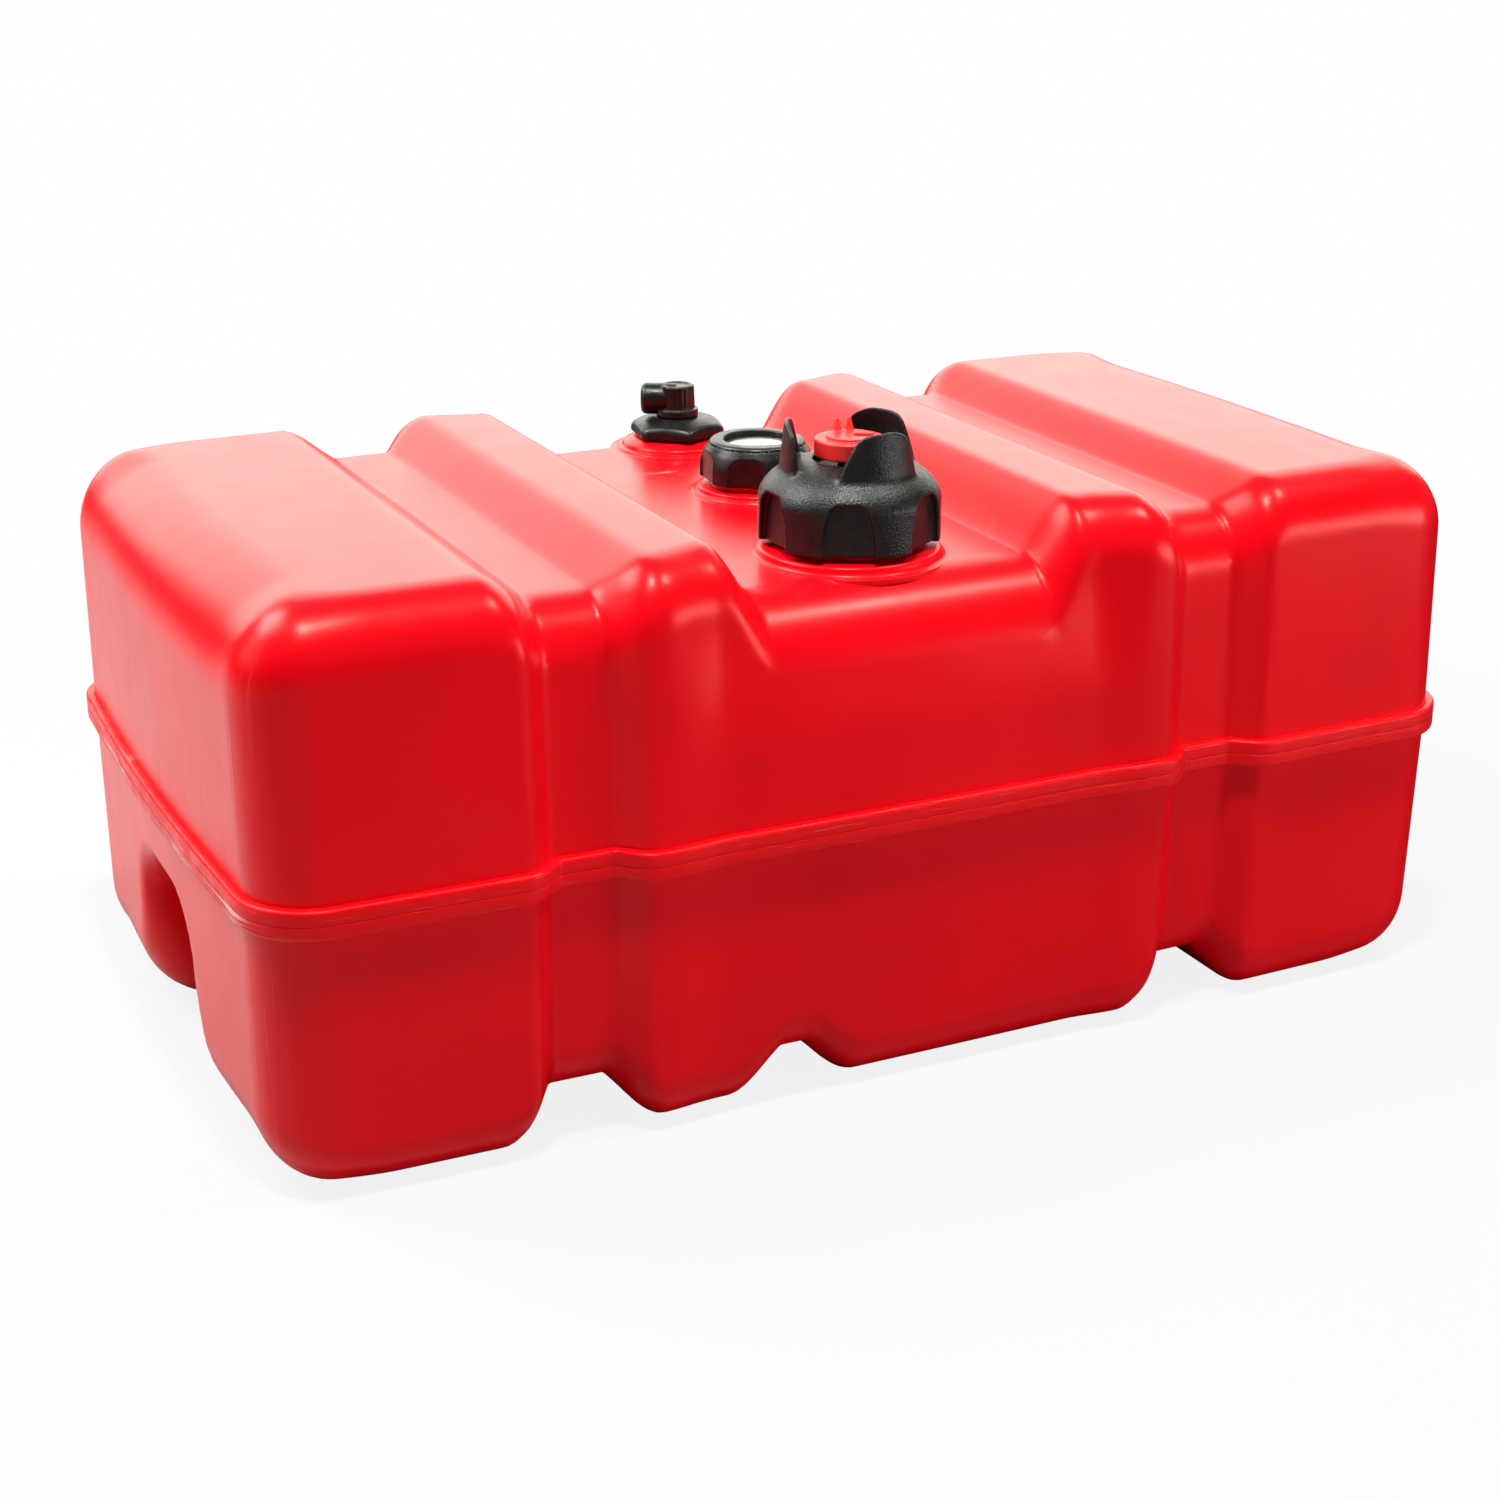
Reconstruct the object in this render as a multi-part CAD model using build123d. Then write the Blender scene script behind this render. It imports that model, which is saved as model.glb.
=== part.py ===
from build123d import *
from math import cos, hypot, pi, radians, sin, sqrt, tan
import os

# Portable fuel tank for an outboard motor. Millimetres, +Z up, +X along the tank's length,
# -Y towards its front. The origin is the middle of the underside.

# Tank body
BODY_LENGTH = 635.0          # over the crowned ends, without the belt
BODY_WIDTH = 354.5           # over the long sides at mid length, without the belt
BODY_HEIGHT = 272.0
WALL = 4.5
SIDE_BOW = 3.7               # how far the long sides stand out at mid length
END_BOW = 4.5                # how far the ends stand out at their middle
END_BOW_TIP = 0.97           # share of the crown at which its last flat strip lies
DRAFT = 1.8                  # degrees, up and down from the parting belt
CORNER_RADIUS = 32.0         # upright corners, seen from above
END_EDGE_RADIUS = 43.0       # upper and lower edges of the ends
LEAST_EDGE_RADIUS = 3.0      # long edges, where they run out at the ends
TOP_EDGE_RADIUS = 28.0
BOTTOM_EDGE_RADIUS = 26.0
BASE_FLAT_DEPTH = 0.6        # how much of the rounded underside is flattened to stand on

# Parting belt
BELT_MIDDLE = 137.5
BELT_THICKNESS = 14.0
BELT_PROUD = 4.5
BELT_ROOT = 1.5              # how far the belt runs into the wall
BELT_EDGE = 1.6
PARTING_LINE_DEPTH = 0.6
PARTING_LINE_WIDTH = 0.9

# Strap grooves, one each side of the deck, all the way round the body
GROOVE_X = 165.0
GROOVE_FLOOR = 30.0
GROOVE_MOUTH = 68.0          # on the long sides
GROOVE_TOP_MOUTH = 80.0      # above and below
GROOVE_SIDE_DEPTH = 11.5
GROOVE_TOP_DEPTH = 15.0
GROOVE_BOTTOM_DEPTH = 22.0

# Sunk deck that carries the fittings
DECK_FLAT = 128.0
DECK_MOUTH = 208.0
DECK_DEPTH = 26.0
DECK = BODY_HEIGHT - DECK_DEPTH

# Hand-hold pocket in the lower half of each end
POCKET_WIDTH = 92.0
POCKET_HEIGHT = 98.0
POCKET_DEPTH = 42.0
POCKET_ARCH_RADIUS = 30.0
POCKET_FOOT_RADIUS = 24.0    # where its walls meet the underside
POCKET_FLARE = 7.0           # sloping edge round its mouth

# Drain channel across the underside
CHANNEL_X = -58.0
CHANNEL_FLOOR = 22.0
CHANNEL_MOUTH = 60.0
CHANNEL_DEPTH = 21.0

# How finely curved stretches of the body are divided
FLANK_STEPS = 5
CORNER_STEPS = 6
END_BOW_STEPS = 3
LEAST_STEP = 0.3

# Where the three fittings stand on the deck
FILLER_INSET = 76.5          # from the front, at the belt
PICKUP_INSET = 50.2          # from the back, at the belt
FILLER = (-0.8, FILLER_INSET - BODY_WIDTH / 2)
GAUGE = (10.0, 22.0)
PICKUP = (12.0, BODY_WIDTH / 2 - PICKUP_INSET)

# Clearances
THREAD_CLEARANCE = 0.4       # screwed pieces, whose threads are left plain
LOOSE = 0.4                  # pieces that pass by each other
RUNNING = 0.05               # shafts and pins in their bearings
SNAP = 0.2                   # pieces of one assembly that plug together
REST_GAP = 0.1               # flat faces that slide on each other

# Filler neck and cap: heights are above the deck
FILLER_BORE = 27.0
FILLER_NECK = 32.4
FILLER_NECK_TOP = 30.0
FILLER_BOSS = 45.5
FILLER_BOSS_HEIGHT = 4.5
CAP_GASKET_THICKNESS = 2.0
CAP_CORE_THICKNESS = 3.5
CAP_CORE_WALL = 4.0
CAP_RADIUS = 43.4
CAP_BOTTOM = 7.5
CAP_SHOULDER = 29.0
CAP_CROWN_RADIUS = 34.0
CAP_CROWN_HEIGHT = 40.0
CAP_TOP = 45.5
CAP_HUB_WALL = 3.0
CAP_HOLLOW_STEP = 14.0
CAP_GRIPS = 6
CAP_GRIP_ANGLE = 2.0
CAP_GRIP_DEPTH = 4.9
CAP_GRIP_WIDTH = 23.0
CAP_GRIP_TOP_WIDTH = 14.0
CAP_GRIP_TOP = 31.5
CAP_GRIP_SHOULDER = 7.2
CAP_GRIP_FILLET = 3.0
GRIP_PAST = 5.0              # how far the cutting shapes reach past a surface
FIN_COUNT = 3
FIN_ANGLE = 31.0
FIN_BASE_RADIUS = 34.0
FIN_LEAN = 2.5
FIN_THICKNESS = 2.8
FIN_TIP_THICKNESS = 2.0
FIN_ROOT = 3.0               # how far a fin reaches down into the crown
FIN_TOP = 63.5
FIN_SPAN = 41.4

# Release button in the cap
BUTTON_RADIUS = 17.0
BUTTON_BOTTOM = 47.0
BUTTON_TOP = 52.5
BUTTON_SKIN = 2.0
BUTTON_WELL_DEPTH = 3.4
WELL_CLEARANCE = 0.6
WELL_RIM = 0.8
BUTTON_DISC_RADIUS = 10.5
BUTTON_DISC_HEIGHT = 0.9
BUTTON_KEY_WIDTH = 4.0
BUTTON_KEY_DEPTH = 1.2
BUTTON_KEY_ANGLE = -50.0     # the side that the notch in the raised disc points to
BUTTON_STEM = 4.0
BUTTON_TIP = 3.0
BUTTON_TIP_LENGTH = 6.0
PRONG_BASE = 2.6
PRONG_TIP = 1.2
PRONG_HEIGHT = 10.5
PRONG_SPACING = 6.0
PRONG_OFFSET = 9.0
PRONG_ANGLE = 85.0           # the side of the button that the prongs stand on
VENT_HOLE = 5.0
VENT_SEAL_RADIUS = 8.5
VENT_SEAL_THICKNESS = 1.8
VENT_SPRING_RADIUS = 6.0
VENT_SPRING_WIRE = 0.45      # radius of the wire
VENT_SPRING_TURNS = 3.5
PUSH_NUT_RADIUS = 6.5
PUSH_NUT_THICKNESS = 1.0

# Float gauge
GAUGE_BORE = 20.0
GAUGE_NECK = 24.0
GAUGE_NECK_TOP = 14.0
GAUGE_BOSS = 31.5
GAUGE_BOSS_HEIGHT = 4.0
GAUGE_GASKET_THICKNESS = 1.5
GAUGE_FLANGE_THICKNESS = 2.0
GAUGE_CUP_WALL = 1.8
GAUGE_CUP_RIM = 22.7
GAUGE_CUP_BOTTOM = 3.0
GAUGE_CUP_FLOOR = 2.0
DIAL_SEAT = 19.6
DIAL_THICKNESS = 0.8
POINTER_LENGTH = 15.0
POINTER_THICKNESS = 0.8
POINTER_HUB = 3.2
LENS_THICKNESS = 1.5
LENS_CROWN = 0.7
LENS_SEAL_THICKNESS = 0.8
RING_RADIUS = 29.5
RING_BOTTOM = 7.0
RING_SHOULDER = 18.5
RING_RIM_RADIUS = 23.2
RING_RIM_THICKNESS = 2.2
RING_RIM_LEDGE = 1.6
RING_WINDOW = 17.2
RING_GRIPS = 6
RING_GRIP_ANGLE = -6.4
RING_GRIP_DEPTH = 2.7
RING_GRIP_WIDTH = 19.0
RING_GRIP_TOP_WIDTH = 11.0
RING_GRIP_TOP = 21.8
RING_GRIP_BEVEL = 3.2
RING_EDGE = 1.0
ROD_RADIUS = 1.6
ROD_OFFSET = 13.0
FOOT_RADIUS = 18.5
FOOT_BOTTOM = 10.0           # above the ground
FOOT_THICKNESS = 4.0
FOOT_WELL = 1.5              # depth of the hollow that the strip's end turns in
FLOAT_RADIUS = 18.3
FLOAT_HEIGHT = 26.0
FLOAT_BORE = 5.2
FLOAT_TRAVEL = 195.0
SLOT_PLATE = 2.0
SLOT_CLEARANCE = 0.45
STRIP_WIDTH = 8.0
STRIP_THICKNESS = 1.0
STRIP_SWEEP = 240.0          # degrees that the strip turns over the float's travel
STRIP_STEP = 15.0            # degrees between the strip's sections
SPINDLE_RADIUS = 2.0
PIVOT_RADIUS = 1.5
SPINDLE_TOP = 21.0

# Fuel pickup
PICKUP_BORE = 12.5
PICKUP_NECK = 16.0
PICKUP_NECK_TOP = 11.3
PICKUP_BOSS = 30.0
PICKUP_BOSS_TOP = 24.0
PICKUP_BOSS_HEIGHT = 6.3
PICKUP_GASKET_THICKNESS = 1.2
STEM_FLANGE_THICKNESS = 2.0
STEM_HUB = 9.4
STEM_HUB_TOP = 17.1
STEM_BODY = 11.0
STEM_SOCKET = 6.5
STEM_SOCKET_BOTTOM = 4.0
STEM_SNAP_HEIGHT = 2.0
STEM_SNAP_DEPTH = 0.7
BARB_LENGTH = 22.0
NUT_BOTTOM = 7.5
NUT_TOP = 16.9
NUT_CIRCUMRADIUS = 27.0
NUT_CORNER_RADIUS = 4.5
NUT_FLAT = 13.5              # radius of the level part of its top
NUT_CROWN_DROP = 5.4         # how far the top falls towards the corners
NUT_CROWN_SWELL = 0.6
NUT_CORNER_ANGLE = 21.3
COLLAR_RADIUS = 11.5
COLLAR_THICKNESS = 4.1
ELBOW_RADIUS = 9.2
ELBOW_TOP_RADIUS = 8.6
ELBOW_TOP = 34.2
ELBOW_FLUTES = 12
ELBOW_FLUTE_RADIUS = 1.1
ELBOW_FLUTE_DEPTH = 0.45
ELBOW_TOP_RECESS = 0.6
ELBOW_TOP_BEVEL = 1.2
COLLAR_BEVEL = 0.6
PORT_RADIUS = 9.1
PORT_AXIS = 26.2
PORT_REACH = 19.6
PORT_ANGLE = 152.0
PORT_END_RADIUS = 3.0
PORT_THREAD = 5.56           # radius before tapping for a quarter-inch taper pipe thread
PORT_THREAD_LENGTH = 12.0
FLOW_RADIUS = 3.0
O_RING_SECTION = 0.8
O_RING_HEIGHT = 10.0
TUBE_WALL = 1.6
TUBE_BORE = 5.6
TUBE_TOP = -4.0              # below the deck's face
TUBE_END = 21.0              # above the ground
STRAINER_BOTTOM = 8.0        # above the ground
STRAINER_TOP = 31.0
STRAINER_WALL = 1.4
STRAINER_WINDOWS = 8
STRAINER_WINDOW_WIDTH = 3.6


# Levels that several pieces share, above the deck
CORE_BOTTOM_FACE = FILLER_NECK_TOP + CAP_GASKET_THICKNESS
CORE_TOP_FACE = CORE_BOTTOM_FACE + CAP_CORE_THICKNESS
CORE_BORE = FILLER_NECK + THREAD_CLEARANCE
CORE_RADIUS = CORE_BORE + CAP_CORE_WALL
CORE_CHAMFER = 4.5
WELL_FLOOR = CAP_TOP - BUTTON_WELL_DEPTH
FLANGE_BOTTOM = GAUGE_NECK_TOP + GAUGE_GASKET_THICKNESS
FLANGE_TOP = FLANGE_BOTTOM + GAUGE_FLANGE_THICKNESS
CUP_RADIUS = GAUGE_BORE - LOOSE
HEAD_RADIUS = GAUGE_NECK - SNAP
WINDOW_CUP_RADIUS = GAUGE_NECK - 1.0
LENS_TOP = GAUGE_CUP_RIM + LENS_THICKNESS
RING_CEILING = LENS_TOP + LENS_SEAL_THICKNESS
RING_TOP = RING_CEILING + RING_RIM_THICKNESS
RING_BORE = GAUGE_NECK + THREAD_CLEARANCE
FOOT_TOP = FOOT_BOTTOM + FOOT_THICKNESS
STRIP_RATE = STRIP_SWEEP / FLOAT_TRAVEL      # degrees for each millimetre of height
STRIP_BOTTOM = FOOT_TOP - FOOT_WELL + LOOSE
STRIP_TOP = DECK + GAUGE_CUP_BOTTOM - 2.0
STEM_FLANGE_BOTTOM = PICKUP_NECK_TOP + PICKUP_GASKET_THICKNESS
STEM_FLANGE_TOP = STEM_FLANGE_BOTTOM + STEM_FLANGE_THICKNESS
COLLAR_BOTTOM = STEM_HUB_TOP + REST_GAP
COLLAR_TOP = COLLAR_BOTTOM + COLLAR_THICKNESS
SPIGOT_RADIUS = STEM_SOCKET - RUNNING
SPIGOT_BOTTOM = STEM_SOCKET_BOTTOM + REST_GAP
TUBE_RADIUS = TUBE_BORE + TUBE_WALL


# Tools for round pieces

def turned(*points):
    """Solid of revolution about Z from the (radius, height) corners of its half section."""
    outline = Polyline(*[(radius, 0, height) for radius, height in points], close=True)
    return revolve(make_face(outline), Axis.Z, 360)


def round_edges(solid, size, *places):
    """Round the circular edges that lie at the given (radius, height) places."""
    picked = []
    for edge in solid.edges():
        if edge.geom_type != GeomType.CIRCLE:
            continue
        for radius, height in places:
            if abs(edge.radius - radius) < 0.01 and abs(edge.arc_center.Z - height) < 0.01:
                picked.append(edge)
    return fillet(picked, size)


def cylinder(radius, bottom, top, x=0.0, y=0.0):
    """Upright cylinder between two heights."""
    return Pos(x, y, (bottom + top) / 2) * Cylinder(radius, top - bottom)


def around(count, first_angle, piece):
    """The piece, repeated evenly about Z. It is drawn on the +X side."""
    return [Rot(0, 0, first_angle + 360 / count * k) * piece for k in range(count)]


def on_deck(place, piece):
    """Stand a piece that is drawn about Z with heights above the deck at its place."""
    return Pos(place[0], place[1], DECK) * piece


# Tank body: sections across the length, joined by straight strips

def smooth_step(share):
    """0 to 1 with level ends."""
    share = min(max(share, 0.0), 1.0)
    return share * share * (3 - 2 * share)


def inside_share(distance, full, none):
    """1 up to the distance full, 0 past the distance none, smooth between them."""
    return 1 - smooth_step((distance - full) / (none - full))


def round_off(past, radius):
    """How far a rounded edge has fallen away, past the point where it starts."""
    past = min(max(past, 0.0), radius)
    return radius - sqrt(radius * radius - past * past)


def groove_share(x, inset, mouth):
    return inside_share(abs(abs(x) - GROOVE_X), (GROOVE_FLOOR + inset) / 2, (mouth + inset) / 2)


def deck_share(x, inset):
    return inside_share(abs(x), (DECK_FLAT + inset) / 2, (DECK_MOUTH + inset) / 2)


def corner_end(inset):
    """Where an upright corner meets the crowned end, along X."""
    return BODY_LENGTH / 2 - END_BOW - inset


def side_half_width(x, inset):
    """Half width at the belt, before the upright corners are rounded."""
    corner_start = corner_end(0) - CORNER_RADIUS
    bow = SIDE_BOW * (min(abs(x), corner_start) / corner_start) ** 2
    return BODY_WIDTH / 2 - inset - bow - GROOVE_SIDE_DEPTH * groove_share(x, inset, GROOVE_MOUTH)


def section_corner(half_width, level, radius, upward):
    """Start, middle and end of the arc that joins a level face to a side with draft."""
    slope = radians(DRAFT)
    reach = radius / tan((pi / 2 + slope) / 2)
    centre = (half_width - reach, level - upward * radius)
    towards = (half_width - centre[0], level - centre[1])
    share = radius / hypot(*towards)
    middle = (centre[0] + towards[0] * share, centre[1] + towards[1] * share)
    end = (half_width + reach * sin(slope), level - upward * reach * cos(slope))
    return (half_width - reach, level), middle, end


def body_section(x, inset):
    """Closed outline across the body at x, drawn the wall's thickness inwards by inset."""
    groove = groove_share(x, inset, GROOVE_TOP_MOUTH)
    corner = CORNER_RADIUS - inset
    corner_fall = round_off(abs(x) - corner_end(inset) + corner, corner)
    crown = max(abs(x) - corner_end(inset), 0) / END_BOW
    half_width = (side_half_width(x, inset) - corner_fall) * sqrt(1 - crown)
    end_edge = END_EDGE_RADIUS - inset
    end_fall = round_off(abs(x) - BODY_LENGTH / 2 + END_EDGE_RADIUS, end_edge)
    top = (BODY_HEIGHT - inset - GROOVE_TOP_DEPTH * groove - DECK_DEPTH * deck_share(x, inset)
           - end_fall)
    bottom = inset - BASE_FLAT_DEPTH + GROOVE_BOTTOM_DEPTH * groove + end_fall
    lean = tan(radians(DRAFT))
    run_out = 1 - corner_fall / corner
    top_radius = max((TOP_EDGE_RADIUS - inset) * run_out, LEAST_EDGE_RADIUS)
    low_radius = max((BOTTOM_EDGE_RADIUS - inset) * run_out, LEAST_EDGE_RADIUS)
    top_arc = section_corner(half_width - (top - BELT_MIDDLE) * lean, top, top_radius, 1)
    low_arc = section_corner(half_width - (BELT_MIDDLE - bottom) * lean, bottom, low_radius, -1)
    right = [Vector(x, y, z) for y, z in low_arc + ((half_width, BELT_MIDDLE),) + top_arc[::-1]]
    left = [Vector(x, -point.Y, point.Z) for point in right]
    return Wire([
        Line(left[0], right[0]), ThreePointArc(*right[:3]), Line(right[2], right[3]),
        Line(right[3], right[4]), ThreePointArc(*right[4:]), Line(right[6], left[6]),
        ThreePointArc(left[6], left[5], left[4]), Line(left[4], left[3]),
        Line(left[3], left[2]), ThreePointArc(left[2], left[1], left[0]),
    ])


def body_stations(inset):
    """The places along X where the body's section is drawn."""
    places = {0.0}
    for step in range(FLANK_STEPS + 1):
        share = step / FLANK_STEPS
        flank = (GROOVE_FLOOR + inset + (GROOVE_TOP_MOUTH - GROOVE_FLOOR) * share) / 2
        places.update((GROOVE_X - flank, GROOVE_X + flank))
        places.add((DECK_FLAT + inset + (DECK_MOUTH - DECK_FLAT) * share) / 2)
    for step in range(CORNER_STEPS + 1):
        turn = radians(90 * step / CORNER_STEPS)
        places.add(corner_end(inset) - (CORNER_RADIUS - inset) * (1 - sin(turn)))
        places.add(BODY_LENGTH / 2 - inset - (END_EDGE_RADIUS - inset) * (1 - sin(turn)))
    for step in range(END_BOW_STEPS):
        places.add(corner_end(inset) + END_BOW * END_BOW_TIP * (step + 1) / END_BOW_STEPS)
    last = corner_end(inset) + END_BOW * END_BOW_TIP
    kept = []
    for place in sorted(place for place in places if place <= last):
        if not kept or place - kept[-1] > LEAST_STEP:
            kept.append(place)
    return [-place for place in reversed(kept) if place > 0] + kept


def body_form(inset):
    return Solid.make_loft([body_section(x, inset) for x in body_stations(inset)], ruled=True)


def belt_outline(proud):
    """Plan outline that stands out from the body by proud all the way round."""
    corner_x = corner_end(0) - CORNER_RADIUS
    corner_y = side_half_width(corner_x, 0) - CORNER_RADIUS
    reach = CORNER_RADIUS + proud
    diagonal = reach * sqrt(0.5)
    inner = [x for x in body_stations(0) if abs(x) < corner_x - LEAST_STEP]
    along = [-corner_x] + inner + [corner_x]
    side = [(x, side_half_width(x, 0) + proud) for x in along]
    front = [(x, -y) for x, y in reversed(side)]
    end_x = corner_x + reach

    def corner(sign_x, sign_y):
        from_side = (sign_x * corner_x, sign_y * (corner_y + reach))
        middle = (sign_x * (corner_x + diagonal), sign_y * (corner_y + diagonal))
        return ThreePointArc(from_side, middle, (sign_x * end_x, sign_y * corner_y))

    def end(sign):
        middle = (sign * (end_x + END_BOW), 0)
        return ThreePointArc((sign * end_x, corner_y), middle, (sign * end_x, -corner_y))

    return make_face([Polyline(*side), corner(1, 1), end(1), corner(1, -1),
                      Polyline(*front), corner(-1, -1), end(-1), corner(-1, 1)])


def belt():
    """Raised parting belt with bevelled edges and a fine line at its middle."""
    bottom = BELT_MIDDLE - BELT_THICKNESS / 2
    top = BELT_MIDDLE + BELT_THICKNESS / 2
    half_line = PARTING_LINE_WIDTH / 2
    outer = belt_outline(BELT_PROUD)
    edge = belt_outline(BELT_PROUD - BELT_EDGE)
    line = belt_outline(BELT_PROUD - PARTING_LINE_DEPTH)

    def slab(low_face, low, high_face, high):
        return Solid.make_loft([Pos(0, 0, low) * low_face.outer_wire(),
                                Pos(0, 0, high) * high_face.outer_wire()], ruled=True)

    band = slab(edge.face(), bottom, outer.face(), bottom + BELT_EDGE)
    band = band + slab(outer.face(), bottom + BELT_EDGE, outer.face(), BELT_MIDDLE - half_line)
    band = band + slab(line.face(), BELT_MIDDLE - half_line, line.face(), BELT_MIDDLE + half_line)
    band = band + slab(outer.face(), BELT_MIDDLE + half_line, outer.face(), top - BELT_EDGE)
    band = band + slab(outer.face(), top - BELT_EDGE, edge.face(), top)
    hole = Pos(0, 0, bottom - 1) * extrude(belt_outline(-BELT_ROOT), BELT_THICKNESS + 2)
    return band - hole


def pocket(grow):
    """Hand-hold recess at the +X end, open at the end and below, enlarged by grow."""
    back = BODY_LENGTH / 2 - POCKET_DEPTH - grow
    mouth = BODY_LENGTH / 2 - POCKET_FLARE
    beyond = 20.0
    below = -BASE_FLAT_DEPTH - 10.0
    foot = POCKET_FOOT_RADIUS - grow
    share = 1 - sqrt(0.5)

    def outline(x, wider):
        half = POCKET_WIDTH / 2 + grow + wider
        height = POCKET_HEIGHT + grow + wider
        arch = POCKET_ARCH_RADIUS + grow + wider
        right = [Vector(x, y, z) for y, z in (
            (half + foot, below), (half + foot, 0), (half + foot * share, foot * share), (half, foot),
            (half, height - arch), (half - arch * share, height - arch * share), (half - arch, height))]
        left = [Vector(x, -point.Y, point.Z) for point in right]
        return Wire([
            Line(left[0], right[0]), Line(right[0], right[1]), ThreePointArc(*right[1:4]),
            Line(right[3], right[4]), ThreePointArc(*right[4:]), Line(right[6], left[6]),
            ThreePointArc(left[6], left[5], left[4]), Line(left[4], left[3]),
            ThreePointArc(left[3], left[2], left[1]), Line(left[1], left[0]),
        ])

    recess = Solid.make_loft([outline(back, 0), outline(mouth, 0), outline(mouth + beyond, beyond)],
                             ruled=True)
    lower_edge = make_face([
        ThreePointArc((back - foot, 0, 0), (back - foot * share, 0, foot * share), (back, 0, foot)),
        Polyline((back, 0, foot), (mouth, 0, foot), (mouth, 0, below), (back - foot, 0, below),
                 (back - foot, 0, 0))])
    return recess + extrude(lower_edge, POCKET_WIDTH / 2 + grow, both=True)


def channel(grow):
    """Drain channel right across the underside, enlarged by grow."""
    floor = CHANNEL_FLOOR / 2 + grow
    mouth = CHANNEL_MOUTH / 2 + grow
    depth = CHANNEL_DEPTH + grow
    spread = (mouth - floor) / depth
    below = 10.0
    outline = Polyline((CHANNEL_X - mouth - below * spread, 0, -below), (CHANNEL_X - floor, 0, depth),
                       (CHANNEL_X + floor, 0, depth), (CHANNEL_X + mouth + below * spread, 0, -below),
                       close=True)
    return extrude(make_face(outline), BODY_WIDTH, both=True)


def neck(place, bore, neck_radius, neck_top, boss, boss_top, boss_height):
    """Moulded neck with its boss, rooted in the deck's wall. The bore is cut later."""
    root = -WALL + REST_GAP
    solid = turned((0, root), (boss, root), (boss, boss_height / 3), (boss_top, boss_height),
                   (neck_radius, boss_height), (neck_radius, neck_top), (0, neck_top))
    return on_deck(place, solid)


def tank_shell():
    below = Pos(0, 0, -50) * Box(BODY_LENGTH + 100, BODY_WIDTH + 100, 100)
    cavity = body_form(WALL) - [pocket(WALL), mirror(pocket(WALL), Plane.YZ), channel(WALL)]
    shell = body_form(0) - [cavity, pocket(0), mirror(pocket(0), Plane.YZ), channel(0), below]
    necks = [
        neck(FILLER, FILLER_BORE, FILLER_NECK, FILLER_NECK_TOP, FILLER_BOSS, CAP_RADIUS - 3.0,
             FILLER_BOSS_HEIGHT),
        neck(GAUGE, GAUGE_BORE, GAUGE_NECK, GAUGE_NECK_TOP, GAUGE_BOSS, RING_RADIUS - 1.0,
             GAUGE_BOSS_HEIGHT),
        neck(PICKUP, PICKUP_BORE, PICKUP_NECK, PICKUP_NECK_TOP, PICKUP_BOSS, PICKUP_BOSS_TOP,
             PICKUP_BOSS_HEIGHT),
    ]
    bores = [cylinder(bore, DECK - 3 * WALL, DECK + top + 1, *place) for place, bore, top in (
        (FILLER, FILLER_BORE, FILLER_NECK_TOP), (GAUGE, GAUGE_BORE, GAUGE_NECK_TOP),
        (PICKUP, PICKUP_BORE, PICKUP_NECK_TOP))]
    return shell + [belt()] + necks - bores


# Filler cap

def grip(width, top_width, bottom, shoulder, top, floor_radius, reach):
    """Upright recess with a narrower top, cut from outside down to floor_radius."""
    half, half_top = width / 2, top_width / 2
    outline = Polyline((floor_radius, -half, bottom), (floor_radius, -half, shoulder),
                       (floor_radius, -half_top, top), (floor_radius, half_top, top),
                       (floor_radius, half, shoulder), (floor_radius, half, bottom), close=True)
    return extrude(make_face(outline), reach, dir=(1, 0, 0))


def cap_grips():
    recess = grip(CAP_GRIP_WIDTH, CAP_GRIP_TOP_WIDTH, CAP_BOTTOM - 1, CAP_GRIP_TOP - CAP_GRIP_SHOULDER,
                  CAP_GRIP_TOP, CAP_RADIUS - CAP_GRIP_DEPTH, CAP_GRIP_DEPTH + GRIP_PAST)
    upright = [edge for edge in recess.edges().filter_by(Axis.X) if edge.center().Z > CAP_BOTTOM]
    return around(CAP_GRIPS, CAP_GRIP_ANGLE, fillet(upright, CAP_GRIP_FILLET))


def cap_body():
    """Outer cap without its fins: skirt, domed crown, well for the button and hollow inside."""
    inner = CORE_RADIUS + SNAP
    well = BUTTON_RADIUS + WELL_CLEARANCE
    rim = well + WELL_RIM
    hub = VENT_HOLE + CAP_HUB_WALL
    ceiling = WELL_FLOOR - CAP_HUB_WALL
    hollow = CORE_RADIUS - CAP_HOLLOW_STEP
    crown = Spline((CAP_RADIUS, 0, CAP_SHOULDER), (CAP_CROWN_RADIUS, 0, CAP_CROWN_HEIGHT),
                   (rim, 0, CAP_TOP), tangents=((0, 0, 1), (-1, 0, 0.12)))
    inside = Polyline((rim, 0, CAP_TOP), (well, 0, CAP_TOP), (well, 0, WELL_FLOOR),
                      (VENT_HOLE, 0, WELL_FLOOR), (VENT_HOLE, 0, CORE_TOP_FACE), (hub, 0, CORE_TOP_FACE),
                      (hub, 0, ceiling), (hollow, 0, ceiling),
                      (hollow, 0, CORE_TOP_FACE), (inner - CORE_CHAMFER, 0, CORE_TOP_FACE),
                      (inner, 0, CORE_TOP_FACE - CORE_CHAMFER), (inner, 0, CAP_BOTTOM),
                      (CAP_RADIUS, 0, CAP_BOTTOM), (CAP_RADIUS, 0, CAP_SHOULDER))
    return revolve(make_face([crown, inside]), Axis.Z, 360)


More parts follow.
